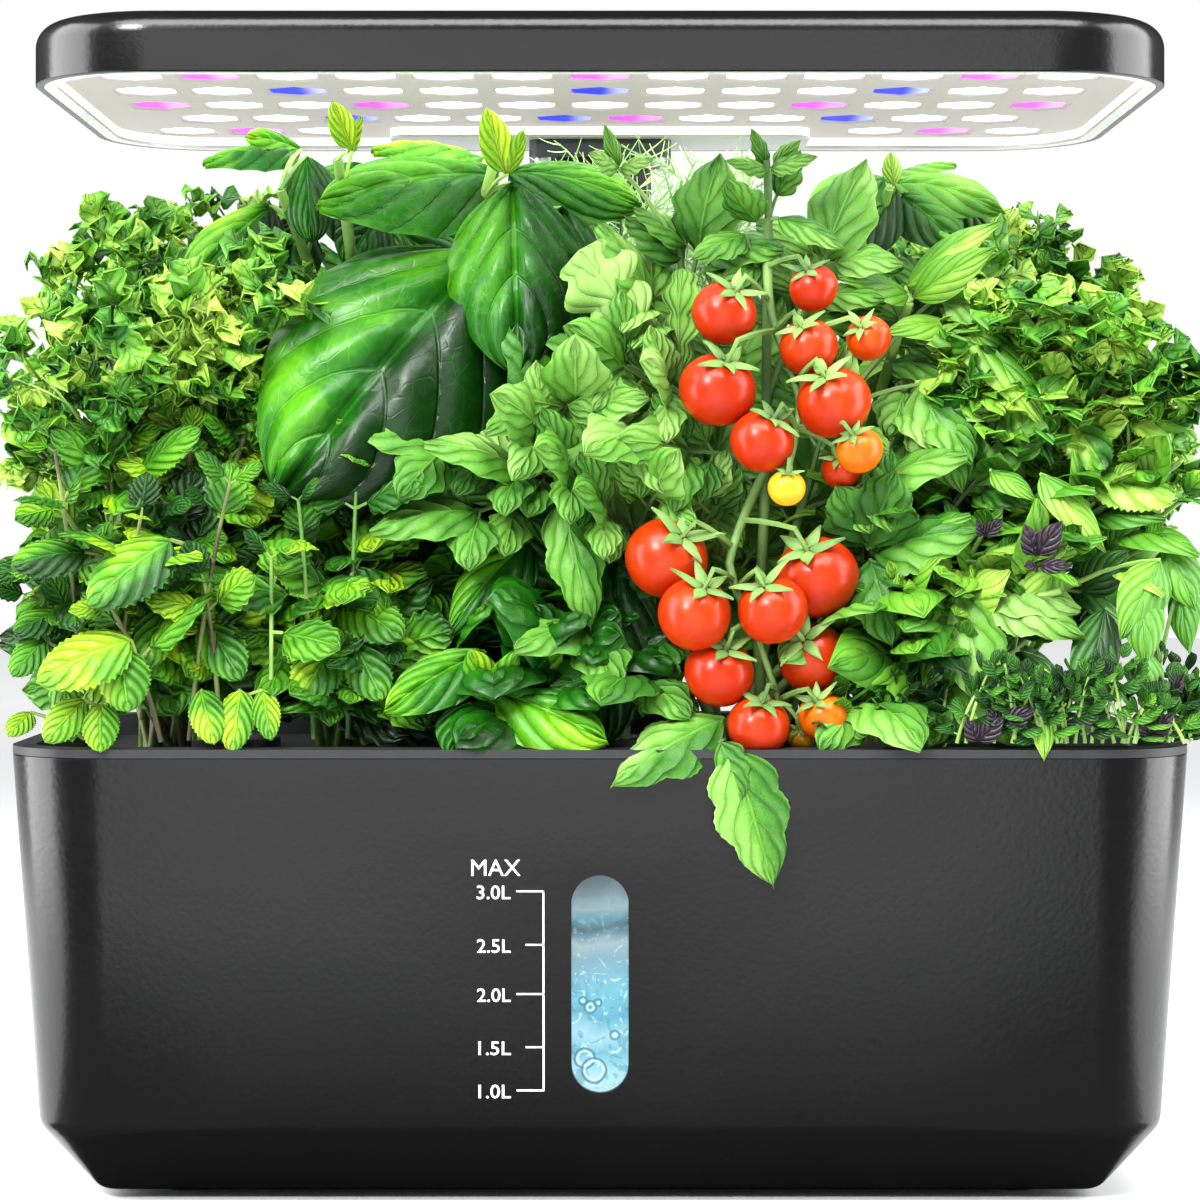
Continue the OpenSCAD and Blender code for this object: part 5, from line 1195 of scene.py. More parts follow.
# Leaves that stand out: kind, base, tip, width, facing, droop, tone, how it turns along and across, and
# the cup where it isn't the usual one. The tones are partly the leaves' own colour and partly painted light:
# lit leaves high, leaves in shade low, and the turns paint one end or half lit and the other shaded.
USUAL_CUP = 0.08
HEROES = {
    "tall_basil": [
        ("basil_large", (-80.1, -5, 264.4), (-103.0, -18, 260.0), 18.3, "up", 0.7, 0.4, 0.25, 0.1, 0.15),
        ("basil_large", (-79.5, 0, 265.6), (-92.7, -10, 268.0), 14.8, "half", 0.6, 0.6, 0.25, 0, 0.1),
        ("basil", (-61.6, -53, 259.2), (-65.8, -61.6, 270.0), 6.9, "front", 0.3, 0.9, 0.1, 0.1, 0.05),
        ("basil", (-62.8, -50, 259.1), (-59.3, -56, 267.3), 5.5, "left", 0.4, 0.8, 0.1, 0, 0.05),
        ("basil_long", (-75.9, -22, 261.4), (-73.4, -32, 238.2), 14.9, "front", 0.6, 0.22, -0.1, 0.12, 0.2),
        ("basil_large", (-86.0, -14, 249.3), (-104.6, -32, 226.5), 24.8, "half", 0.6, 0.34, 0.15, 0.36, 0.18),
        ("basil_large", (-78.7, -8, 245.7), (-85.7, -22, 224.7), 18.2, "front", 0.7, 0.16, 0.15, -0.1, 0.15),
        ("basil_large", (-63.2, -5, 261.0), (-77.4, -22, 246.1), 18.3, "half", 0.8, 0.34, 0.2, 0.1, 0.1),
        ("basil_large", (-71.5, 0, 252.3), (-52.2, -12, 234.8), 17.4, "half", 0.8, 0.24, 0.1, -0.1, 0.1),
        ("basil", (-23.7, -46, 254.0), (-28.3, -52, 269.8), 8.5, "front", 0.3, 0.92, 0.1, 0.1, 0.05),
        ("basil", (-23.2, -46, 254.0), (-18.9, -48, 264.8), 5.5, "right", 0.3, 0.8, 0.1, 0, 0.05),
        ("basil_large", (-30.6, -15, 261.2), (-58.4, -28, 262.2), 19.7, "up", 0.7, 0.74, 0.2, 0.2, 0.12),
        ("basil_large", (-26.5, -22, 256.7), (-70.3, -50, 246.1), 32.5, "half", 0.6, 0.36, 0.45, 0.16, 0.14),
        ("basil_long", (-23.8, -18, 257.7), (10.3, -34, 247.5), 24.7, "half", 0.7, 0.44, 0.25, -0.14, 0.14),
        ("basil_long", (-18.3, -6, 250.4), (7.9, -22, 224.2), 31.3, "half", 0.7, 0.32, 0.15, -0.12, 0.18),
        ("basil_large", (-22.1, -42, 252.0), (-20.2, -56, 202.9), 35.0, "front", 0.6, 0.18, -0.05, 0.1, 0.2),
        ("basil_large", (-9.6, -34, 246.7), (-10.9, -48, 197.7), 28.3, "front", 0.6, 0.16, -0.05, 0.08, 0.18),
        ("basil_large", (-30.3, -38, 234.1), (-79.8, -60, 172.1), 62.5, "front", 0.55, 0.11, 0.05, 0.27, 0.1),
        ("basil_large", (-15.5, -14, 211.7), (-31.6, -30, 180.1), 28.4, "front", 0.6, 0.14, 0, 0.06, 0.15),
        ("basil_large", (-19.4, -14, 191.3), (-41.2, -32, 175.9), 23.8, "half", 0.6, 0.18, 0.1, 0.08, 0.16),
        ("basil_large", (-53.1, 2, 244.5), (-34.1, -6, 225.3), 21.2, "half", 0.6, 0.26, 0.1, 0, 0.1),
        ("basil_large", (-57.4, -12, 247.1), (-65.5, -26, 233.6), 15.6, "front", 0.6, 0.22, 0.1, 0, 0.1),
    ],
    "sweet_basil": [
        ("smooth_large", (-17.3, -52, 162.2), (-37.9, -64, 138.2), 17.8, "half", 0.9, 0.4, 0.15, 0.2, 0.15),
        ("basil_large", (3.1, -50, 159.2), (1.1, -64, 112.0), 29.2, "front", 0.5, 0.18, 0.05, 0.08, 0.18),
        ("basil_large", (-28.3, -66, 134.9), (-51.8, -80, 121.0), 16.5, "half", 0.6, 0.46, 0.15, 0.12, 0.12),
        ("basil_large", (-27.3, -66, 125.6), (1.6, -82, 113.9), 19.9, "half", 0.6, 0.44, 0.15, 0.12, 0.12),
        ("basil_large", (-31.9, -72, 122.5), (-35.4, -81, 110.0), 12.5, "front", 0.5, 0.3, 0, 0.05, 0.1),
        ("basil", (-26.2, -70, 122.8), (-31.3, -76, 135.7), 9.2, "front", 0.4, 0.66, 0.1, 0.1),
        ("basil", (-25.7, -70, 123.3), (-20.2, -76, 135.2), 8.7, "right", 0.4, 0.6, 0.1, 0),
        ("basil_large", (-19.5, -62, 124.9), (-11.6, -68, 142.3), 13.2, "front", 0.6, 0.5, 0.1, 0.12, 0.12),
        ("basil_large", (-2.4, -44, 147.1), (-19.8, -52, 167.2), 18.5, "front", 0.6, 0.28, 0.1, 0.06, 0.14),
        ("basil_large", (-32.3, -50, 137.2), (-19.7, -54, 149.8), 14.4, "front", 0.5, 0.3, 0.1, 0, 0.12),
    ],
    "smooth_basil": [
        ("basil_large", (74.0, -20, 255.4), (52.8, -38, 245.8), 15.4, "half", 0.8, 0.5, 0.25, 0.1),
        ("basil_large", (76.2, -24, 252.4), (63.1, -36, 231.8), 14.8, "front", 0.7, 0.2, 0, 0.15),
        ("basil_large", (77.0, -15, 255.2), (103.0, -32, 245.9), 17.0, "half", 0.8, 0.46, 0.2, -0.1),
        ("basil", (75.3, -28, 253.0), (74.3, -31, 261.3), 5.1, "front", 0.3, 0.96, 0.1, 0),
        ("basil_large", (76.7, -5, 257.6), (92.8, -14, 260.0), 13.1, "up", 0.6, 0.48, 0.2, 0),
        ("basil_large", (77.7, -22, 251.3), (91.8, -34, 237.3), 16.4, "front", 0.7, 0.2, 0.1, -0.1),
        ("basil_large", (93.6, -18, 250.4), (102.8, -28, 233.5), 12.9, "right", 0.7, 0.24, 0.1, 0),
        ("smooth_large", (77.4, -38, 226.3), (100.2, -50, 242.1), 11.6, "half", 0.7, 0.68, 0.15, 0.15),
        ("smooth_large", (78.8, -42, 223.2), (98.8, -52, 235.4), 10.5, "front", 0.6, 0.56, 0.1, 0.1),
        ("smooth_large", (78.5, -40, 224.1), (59.4, -52, 227.7), 11.0, "half", 0.7, 0.52, 0.15, 0),
        ("smooth_large", (89.9, -40, 216.5), (70.8, -50, 214.1), 10.1, "half", 0.7, 0.66, 0.1, 0),
        ("smooth_large", (88.1, -40, 219.6), (111.6, -56, 189.0), 14.0, "half", 0.9, 0.6, 0.15, 0.16),
        ("smooth_large", (103.2, -25, 233.7), (112.7, -34, 215.6), 11.8, "right", 0.7, 0.42, 0.15, 0),
        ("smooth_large", (86.6, -35, 211.8), (103.1, -45, 197.4), 12.1, "half", 0.6, 0.46, 0.1, 0),
    ],
    "cherry_tomato": [
        ("oak", (13.9, -50, 208.1), (-5.3, -60, 233.7), 22.8, "front", 0.5, 0.94, 0.1, 0.08),
        ("oak", (20.7, -48, 203.7), (20.5, -54, 229.8), 13.5, "left", 0.5, 0.64, 0.1, 0),
        ("tomato_large", (42.0, -52, 254.4), (31.3, -56, 256.4), 7.5, "half", 0.5, 0.62, 0.1, 0.1),
        ("tomato_large", (42.5, -52, 254.9), (53.6, -56, 257.4), 7.9, "half", 0.5, 0.62, 0.1, 0.1),
        ("tomato", (41.6, -50, 255.6), (37.6, -54, 264.6), 4.5, "front", 0.6, 0.5, 0.1, 0),
        ("tomato", (43.2, -48, 255.8), (49.9, -52, 261.8), 5.0, "front", 0.6, 0.56, 0.1, 0),
        ("tomato_large", (4.6, -46, 255.5), (-2.4, -50, 259.1), 8.5, "half", 0.5, 0.6, 0.1, 0),
        ("tomato_large", (5.1, -46, 255.5), (13.1, -50, 257.6), 7.5, "half", 0.5, 0.62, 0.1, 0),
        ("tomato", (4.7, -44, 255.8), (1.1, -48, 266.3), 4.5, "front", 0.6, 0.5, 0.1, 0),
        ("tomato_large", (39.1, -50, 241.6), (31.3, -58, 251.2), 12.4, "left", 0.6, 0.4, 0.1, 0.1),
        ("tomato_large", (36.2, -52, 238.2), (22.8, -60, 231.8), 10.9, "half", 0.6, 0.46, 0.1, 0.15),
        ("tomato_large", (44.5, -52, 242.4), (60.4, -58, 234.4), 9.4, "half", 0.6, 0.52, 0.1, 0.15),
        ("tomato_large", (44.2, -48, 248.3), (49.8, -54, 259.1), 8.5, "front", 0.6, 0.44, 0.1, 0.1),
        ("tomato_large", (40.6, -50, 231.6), (30.4, -56, 224.7), 11.4, "front", 0.6, 0.34, 0.1, 0.1),
        ("tomato_large", (-9.2, -60, 172.1), (-2.3, -70, 140.8), 15.7, "front", 0.6, 0.46, 0.1, 0.12),
        ("tomato_large", (3.1, -50, 174.7), (-18.6, -62, 186.8), 18.8, "half", 0.6, 0.5, 0.15, 0.1),
        ("tomato_large", (11.3, -52, 197.6), (-10.7, -62, 200.6), 16.3, "front", 0.5, 0.58, 0.15, 0.12),
        ("tomato_large", (10.1, -54, 192.0), (-12.6, -66, 179.4), 20.7, "front", 0.5, 0.54, 0.15, 0.14),
        ("tomato_large", (13.0, -56, 194.4), (9.9, -66, 172.5), 17.7, "front", 0.5, 0.5, 0.15, 0.12),
        ("tomato_large", (22.5, -52, 179.6), (15.9, -60, 196.7), 14.9, "front", 0.5, 0.44, 0.15, 0.12),
        ("tomato_large", (25.2, -46, 172.2), (35.4, -54, 160.2), 12.5, "front", 0.5, 0.4, 0.15, 0.1),
        ("tomato_large", (34.1, -44, 179.8), (25.0, -54, 167.2), 14.0, "front", 0.5, 0.34, 0.15, 0.1),
        ("tomato_large", (29.7, -74, 119.2), (3.0, -86, 104.2), 19.2, "half", 0.6, 0.54, 0.15, 0.2),
        ("tomato_large", (28.8, -83, 114.0), (33.9, -86.5, 100.4), 10.5, "left", 0.4, 0.44, 0.1, 0.1),
        ("tomato_large", (32.1, -84.5, 111.7), (41.3, -86.5, 79.9), 19.6, "front", 0.3, 0.56, 0.1, 0.2),
        ("tomato_large", (15.0, -56, 137.4), (9.9, -68, 119.6), 17.2, "left", 0.7, 0.34, 0.1, 0),
        ("tomato_large", (66.0, -62, 160.3), (71.9, -70, 178.8), 20.6, "front", 0.5, 0.22, 0.1, 0.08),
        ("tomato_large", (65.7, -60, 160.8), (57.9, -66, 175.5), 17.2, "front", 0.5, 0.26, 0.1, 0.06),
        ("tomato_large", (67.2, -60, 159.0), (92.1, -70, 164.7), 20.6, "half", 0.7, 0.34, 0.15, 0.08),
        ("tomato_large", (66.5, -62, 157.3), (70.8, -74, 136.9), 18.5, "front", 0.6, 0.3, 0.1, 0.08),
        ("tomato_large", (81.1, -64, 151.2), (77.3, -72, 138.0), 10.7, "left", 0.5, 0.52, 0.1, 0.05),
        ("tomato_large", (87.7, -66, 150.0), (92.9, -78, 122.3), 18.9, "front", 0.5, 0.56, 0.1, 0.12),
        ("tomato_large", (92.3, -62, 149.5), (117.3, -74, 139.0), 17.1, "half", 0.7, 0.6, 0.1, 0.1),
        ("tomato_large", (93.6, -58, 156.8), (107.3, -64, 161.8), 12.3, "half", 0.5, 0.5, 0.1, 0),
        ("tomato_large", (80.4, -46, 201.3), (89.4, -60, 174.1), 19.4, "front", 0.6, 0.46, 0.1, 0.14),
        ("tomato_large", (76.9, -44, 200.4), (71.9, -52, 188.1), 14.0, "front", 0.5, 0.44, 0.1, 0.08),
        ("tomato_large", (115.2, -40, 193.8), (90.0, -50, 199.2), 14.1, "half", 0.7, 0.28, 0.1, 0),
        ("tomato_large", (25.5, -38, 190.0), (-9.8, -56, 179.6), 21.1, "half", 0.7, 0.4, 0.15, 0.1),
        ("tomato_large", (25.5, -36, 215.5), (10.2, -44, 222.6), 11.1, "half", 0.6, 0.48, 0.1, 0),
    ],
    "lemon_balm": [
        ("mint_large", (-64.7, -66, 137.8), (-72.3, -76, 123.6), 14.1, "front", 0.5, 0.4, 0.1, 0.2),
        ("mint_large", (-60.5, -66, 137.8), (-52.5, -76, 123.6), 12.6, "front", 0.5, 0.34, 0.1, 0),
        ("mint_large", (-66.6, -58, 149.9), (-80.6, -66, 157.4), 14.3, "half", 0.6, 0.44, 0.15, 0),
        ("mint_large", (-62.7, -60, 147.4), (-48.4, -72, 138.0), 14.7, "half", 0.6, 0.38, 0.1, 0),
        ("mint_large", (-55.2, -44, 191.1), (-48.8, -46, 199.3), 6.5, "front", 0.4, 0.58, 0.1, 0),
        ("mint_large", (-55.2, -44, 191.1), (-60.6, -46, 197.8), 6.0, "front", 0.4, 0.62, 0.1, 0),
    ],
    "mint": [
        ("mint_large", (-124.8, -74, 159.4), (-141.2, -82, 156.1), 13.5, "half", 0.7, 0.34, 0.1, 0.2),
        ("mint_large", (-104.0, -74, 162.3), (-122.6, -82, 146.5), 18.8, "half", 0.6, 0.42, 0.1, 0.1),
        ("mint_large", (-113.1, -78, 138.2), (-134.5, -85, 128.4), 17.7, "half", 0.6, 0.86, 0.1, 0.1),
        ("mint_large", (-115.6, -77, 135.8), (-112.7, -84, 121.2), 13.4, "front", 0.5, 0.68, 0.1, 0.1),
        ("mint_large", (-131.0, -72, 133.1), (-126.4, -82, 113.9), 8.2, "front", 0.5, 0.64, 0.1, 0),
        ("mint_large", (-87.0, -74, 126.0), (-88.1, -82, 111.5), 9.6, "front", 0.5, 0.78, 0.1, 0.1),
        ("mint_large", (-81.7, -74, 126.0), (-78.9, -82, 114.4), 7.2, "front", 0.5, 0.7, 0.1, 0),
        ("mint_large", (-122.2, -50, 177.2), (-135.8, -58, 189.4), 11.9, "half", 0.6, 0.52, 0.15, 0),
        ("mint_large", (-115.0, -48, 179.7), (-99.0, -56, 189.5), 12.5, "half", 0.6, 0.46, 0.15, 0),
        ("mint_large", (-103.9, -56, 157.3), (-88.9, -68, 150.1), 13.3, "half", 0.6, 0.5, 0.1, 0),
        ("mint_large", (-105.3, -64, 147.5), (-111.3, -74, 130.8), 12.2, "front", 0.5, 0.34, 0.1, 0),
        ("mint_large", (-96.5, -66, 142.7), (-86.8, -76, 128.5), 12.2, "front", 0.5, 0.44, 0.1, 0),
        ("mint_large", (-124.2, -78, 123.8), (-132.7, -84, 114.0), 9.6, "front", 0.5, 0.84, 0.1, 0.1),
        ("mint_large", (-120.2, -79, 122.8), (-119.4, -84, 111.6), 9.6, "front", 0.5, 0.76, 0.1, 0.1),
        ("mint_large", (-135.2, -70, 137.9), (-141.5, -78, 129.5), 9.7, "half", 0.5, 0.6, 0.1, 0.1),
        ("mint_large", (-132.0, -66, 145.1), (-141.8, -74, 139.5), 10.2, "half", 0.5, 0.4, 0.1, 0.1),
        ("mint_large", (-139.0, -68, 120.3), (-143.2, -74, 114.8), 7.3, "half", 0.5, 0.66, 0.1, 0),
        ("mint_large", (-96.7, -74, 126.0), (-92.4, -82, 113.4), 9.2, "front", 0.5, 0.6, 0.1, 0.1),
    ],
    "flat_parsley": [
        ("mint_large", (132.3, -48, 192.2), (146.8, -56, 191.0), 11.5, "half", 0.6, 0.52, 0.1, 0.1),
        ("mint_large", (117.5, -50, 192.2), (124.9, -58, 179.5), 12.9, "front", 0.5, 0.54, 0.1, 0.3),
        ("mint_large", (121.9, -54, 177.1), (141.8, -62, 172.1), 14.8, "half", 0.6, 0.9, 0.1, 0.1),
        ("mint_large", (138.1, -46, 201.1), (148.6, -52, 209.5), 9.0, "half", 0.6, 0.58, 0.1, 0),
        ("smooth_large", (102.8, -48, 198.5), (112.1, -56, 182.0), 11.0, "front", 0.5, 0.38, 0.1, 0.1),
    ],
    "purple_basil": [
        ("smooth_large", (123.3, -68, 145.7), (115.7, -78, 118.0), 12.1, "front", 0.5, 0.16, 0.05, 0.1),
        ("smooth_large", (106.7, -74, 131.3), (106.1, -85, 109.8), 10.1, "front", 0.4, 0.76, 0.1, 0.1),
        ("smooth_large", (131.5, -70, 151.8), (131.6, -78, 131.5), 11.1, "front", 0.5, 0.52, 0.1, 0),
        ("smooth_large", (142.4, -64, 152.4), (142.9, -72, 134.6), 8.8, "left", 0.5, 0.42, 0.1, 0),
        ("smooth_large", (132.0, -76, 135.2), (130.0, -82, 123.5), 9.6, "front", 0.4, 0.58, 0.1, 0),
        ("smooth_large", (118.5, -60, 149.4), (129.3, -66, 159.8), 10.8, "front", 0.5, 0.14, 0.1, 0),
        ("smooth_large", (108.3, -62, 178.5), (123.3, -70, 159.3), 9.8, "half", 0.6, 0.7, 0.1, 0.1),
        ("smooth_large", (112.9, -64, 157.3), (102.3, -70, 142.8), 9.8, "front", 0.5, 0.58, 0.1, 0.1),
        ("smooth_large", (136.8, -68, 157.4), (125.7, -76, 138.1), 12.6, "front", 0.5, 0.6, 0.1, 0.1),
        ("smooth_large", (139.1, -62, 161.0), (144.9, -70, 145.2), 12.2, "front", 0.5, 0.54, 0.1, 0.1),
        ("smooth_large", (96.3, -60, 179.5), (106.8, -66, 172.0), 7.4, "half", 0.6, 0.66, 0.1, 0.1),
        ("smooth_large", (126.0, -56, 159.7), (133.3, -60, 170.6), 8.4, "front", 0.5, 0.52, 0.1, 0),
    ],
}
# Dark leaves: base, tip, width, droop, and tone, how it turns along and across
PURPLE_TIPS = [
    ((105.4, -76, 158.4), (111.3, -79, 167.1), 6.3, 0.6, (0.32, 0.1, 0)),
    ((105.9, -76, 156.0), (113.5, -80, 156.1), 3.9, 0.6, (0.32, 0.1, 0)),
    ((93.1, -74, 163.2), (97.3, -77, 167.6), 3.6, 0.6, (0.32, 0.1, 0)),
    ((96.4, -82.5, 118.2), (104.2, -84.5, 122.2), 5.3, 0.6, (0.22, 0.1, 0)),
    ((90.6, -82.5, 113.9), (96.6, -84.5, 120.3), 5.3, 0.6, (0.32, 0.1, 0)),
    ((131.9, -82, 115.3), (137.2, -84.5, 121.2), 4.8, 0.6, (0.22, 0.1, 0)),
    ((136.1, -80, 122.4), (139.9, -83, 130.7), 3.8, 0.6, (0.22, 0.1, 0)),
]
# Fruit: centre, radius and ripeness, 0 for red and 1 for yellow
FRUIT = [
    ((30.5, -64, 217.9), 8.1, 0),
    ((52.6, -60, 224.4), 6.2, 0),
    ((51.2, -63, 209.6), 7.4, 0.05),
    ((66.2, -60, 212.0), 5.7, 0.25),
    ((28.7, -68, 198.9), 9.3, 0),
    ((57.0, -68, 195.9), 9.0, 0.05),
    ((39.4, -72, 186.3), 8.0, 0.05),
    ((63.0, -72, 184.1), 5.8, 0.5),
    ((45.2, -74, 174.9), 4.6, 0.95),
    ((59.5, -60, 179.5), 4.9, 0),
    ((16.3, -66, 157.8), 10.3, 0.05),
    ((22.9, -75, 144.4), 9.2, 0.1),
    ((41.7, -76, 145.4), 8.5, 0.1),
    ((53.0, -66, 153.2), 10.3, 0.05),
    ((29.0, -72, 130.0), 8.5, 0),
    ((52.0, -66, 133.6), 8.8, 0),
    ((38.3, -75, 117.3), 7.7, 0.1),
    ((54.3, -72, 119.5), 6.3, 0.5),
    ((49.3, -66, 113.8), 3.4, 0.95),
]
UPPER_TRUSS = [(41.5, -52, 234.4), (41.8, -56, 221.7), (43.4, -58, 214.1), (47.5, -60, 203.7),
    (49.3, -62, 195.4), (47.8, -66, 186.7), (45.9, -70, 179.3)]
LOWER_TRUSS = [(41.0, -52, 179.6), (35.0, -62, 167.2), (31.4, -66, 157.4), (33.1, -68, 150.1),
    (38.6, -70, 137.9), (42.8, -68, 125.7), (44.0, -68, 122.0)]
# Ends of the compound leaves: the large ones with their width, and the others
LARGE_LEAVES = [
    ((-6, -60, 196), 20), ((8, -62, 188), 20), ((-8, -64, 180), 18), ((4, -58, 206), 18),
    ((16, -60, 200), 18), ((20, -62, 184), 18), ((-16, -62, 190), 18), ((14, -64, 174), 17),
    ((0, -64, 170), 17), ((24, -56, 172), 16),
]
SIDE_LEAVES = [
    (25, -42, 236), (58, -44, 236), (30, -30, 182), (40, -28, 160), (18, -34, 150), (48, -30, 134),
    (34, -36, 204), (52, -36, 172), (24, -30, 130), (8, -30, 166), (62, -32, 152), (-34, -58, 168),
    (-12, -50, 196), (0, -44, 208), (60, -30, 236), (84, -44, 196), (92, -48, 176), (70, -54, 176),
    (-22, -56, 180), (12, -46, 222), (50, -34, 222), (96, -60, 150), (60, -60, 140), (88, -64, 126),
    (-4, -60, 140), (16, -34, 196), (78, -30, 214), (30, -20, 210), (8, -66, 128), (66, -70, 122),
    (102, -50, 186), (-44, -52, 186), (56, -50, 190), (88, -36, 226),
]
MAIN_STEM = [(41.0, -42, 106.7), (39.9, -44, 137.0), (41.3, -46, 172.2), (41.7, -48, 197.2),
    (41.6, -50, 219.6), (42.1, -50, 242.1), (41.5, -52, 256.9)]

def spread_out(grow, count, low, high, top, back=0.25):
    """Places for the ends of shoots: low ones in front, high ones behind, and some on the far side."""
    spots = []
    for k in range(count):
        x = low[0] + (high[0] - low[0]) * ((k * GOLDEN) % 1.0)
        up = grow.dice.random() ** 0.8
        z = low[2] + (top(x) - low[2]) * up
        if grow.dice.random() < back:
            y = high[1] - grow.dice.uniform(0, 8) - 14 * up
        else:
            y = low[1] + (high[1] - low[1]) * up ** 1.6 * grow.dice.uniform(0.25, 0.85)
        spots.append(np.array((x, y, z)))
    return spots

def make_mint():
    grow = Growth("mint_leaves", 5, (-151, -86, 113.5), (-78, 4, 228), 21)
    def top(x):
        return 198 if x > -116 else 214
    for end in spread_out(grow, 30, (-140, -66, 128), (-86, -8, 220), top, 0.15):
        path = grow.stem(end, 1.2, 0.7, 0.4)
        # Higher shoots get a lighter tone: painted light on the top of the plant.
        tone = 0.34 + 0.0026 * (end[2] - 160)
        grow.shoot("mint", path, 4, 22, 0.80, tone, 0.20, 0.14, 0.6, top=0.45, nod=0.7, open_top=50)
    for foot, end in (((-118, -72), (-112, -68, 168)), ((-100, -70), (-90, -70, 176)),
            ((-126, -66), (-134, -62, 184)), ((-92, -72), (-96, -72, 152)), ((-106, -76), (-118, -76, 146))):
        path = grow.stem(end, 0.65, 0.45, 0.35, foot=(*foot, SOIL_Z))
        grow.shoot("mint", path, 3, 20, 0.80, 0.45, 0.2, 0.2, 0.6, top=0.5, nod=0.6, open_top=50)
    grow.heroes(HEROES["mint"])
    grow.done("mint_plant", [MINT_LEAF, MINT_STALK])

def make_lemon_balm():
    grow = Growth("lemon_balm_leaves", 6, (-96, -86, 113.5), (-30, 4, 234), 22)
    for end in spread_out(grow, 20, (-86, -64, 126), (-46, -8, 200), lambda x: 166, 0.15):
        path = grow.stem(end, 1.3, 0.7, 0.5)
        grow.shoot("mint", path, 4, 24, 0.80, 0.26, 0.15, 0.14, 0.6, top=0.45, nod=0.7, open_top=50)
    for foot, end in (((-62, -62), (-60, -56, 182)), ((-70, -66), (-74, -64, 172)),
            ((-80, -70), (-80, -70, 158))):
        path = grow.stem(end, 0.65, 0.45, 0.35, foot=(*foot, SOIL_Z))
        grow.shoot("mint", path, 3, 20, 0.80, 0.36, 0.15, 0.2, 0.6, top=0.5, nod=0.6, open_top=50)
    path = grow.stem((-53.0, -44.0, 188.0), 1.3, 0.8, 0.9)
    grow.shoot("mint", path, 4, 17, 0.7, 0.7, 0.08, 0.09, top=0.5)
    grow.heroes(HEROES["lemon_balm"])
    grow.done("lemon_balm_plant", [MINT_LEAF, STALK])

def make_sweet_basil():
    grow = Growth("sweet_basil_leaves", 7, (-56, -86, 113.5), (18, 6, 216), 23)
    for end in spread_out(grow, 12, (-40, -58, 124), (8, -10, 200), lambda x: 152, 0.2):
        path = grow.stem(end, 2.0, 1.1, 0.5)
        grow.shoot("basil", path, 4, 36, 0.80, 0.16, 0.10, 0.16, nod=0.4)
    grow.heroes(HEROES["sweet_basil"])
    grow.done("sweet_basil_plant", [BASIL_LEAF, STALK])

def make_tall_basil():
    grow = Growth("tall_basil_leaves", 1, (-116, -62, 118), (16, 74, 270), 24)
    for end in ((-82, -28, 252), (-66, -44, 258), (-27, -36, 258), (-30, -10, 226), (-70, -6, 214),
            (-44, 10, 190)):
        grow.stem(end, 2.4, 1.3, 0.6)
    for end in spread_out(grow, 18, (-92, -14, 150), (-4, 66, 250), lambda x: 248, 0.45):
        path = grow.stem(end, 2.2, 1.2, 0.5)
        grow.shoot("basil", path, 4, 46, 0.78, 0.24, 0.14, 0.15)
    grow.heroes(HEROES["tall_basil"])
    grow.done("tall_basil_plant", [BASIL_LEAF, STALK])

def make_smooth_basil():
    grow = Growth("smooth_basil_leaves", 3, (14, -56, 118), (116, 74, 268), 25)
    for end in ((74, -30, 252), (78, -42, 222), (88, -40, 214)):
        grow.stem(end, 2.2, 1.2, 0.6)
    for end in spread_out(grow, 18, (26, -34, 150), (104, 66, 250), lambda x: 250, 0.40):
        path = grow.stem(end, 2.0, 1.0, 0.5)
        grow.shoot("basil" if end[2] > 215 else "smooth", path, 4, 38, 0.6, 0.44, 0.18, 0.14)
    grow.heroes(HEROES["smooth_basil"])
    grow.done("smooth_basil_plant", [SMOOTH_LEAF, STALK])

def frond(grow, kind, end, leaflets, size, tone, branches=5):
    """A parsley frond: a long stalk that forks near its top into small stalks with leaflets."""
    path = grow.stem(end, 0.9, 0.45, 0.55)
    run = unit(path[-1] - path[-4])
    side = unit(np.cross(run, (0.2, 0.9, 0.3)))
    for b in range(branches):
        at = path[-1 - min(b // 2 * 2, 4)]
        lean = 0.0 if b == 0 else (1 if b % 2 else -1) * grow.dice.uniform(0.6, 1.1)
        stray = (grow.dice.uniform(-0.3, 0.3), grow.dice.uniform(-0.6, 0.1), grow.dice.uniform(-0.1, 0.3))
        ahead = unit(run + side * lean + np.array(stray))
        long = size * grow.dice.uniform(1.1, 1.8)
        tip = at + ahead * long
        if not grow.clear(tip):
            continue
        grow.stalk("thread", [at, at + ahead * long * 0.5 + (0, 0, 0.6), tip], 0.4, 0.25, 0.6)
        for _ in range(leaflets):
            onward = ahead * grow.dice.uniform(0.1, 1.0)
            out = unit(onward + np.array([grow.dice.uniform(-1, 1) for _ in range(3)]) * 0.8)
            base = at + ahead * long * grow.dice.uniform(0.45, 1.0)
            end_spot = base + out * size * grow.dice.uniform(0.6, 1.05)
            if grow.clear(end_spot):
                face = unit(np.array((grow.dice.uniform(-0.5, 0.5), grow.dice.uniform(-0.9, 0.1), 1.0)))
                grow.leaf(kind, base, end_spot, size * grow.dice.uniform(0.7, 1.0), face,
                    grow.dice.uniform(0.2, 1.0),
                    (tone + grow.dice.gauss(0, 0.17), 0.15, 0.0), grow.dice.uniform(-0.5, 0.5))

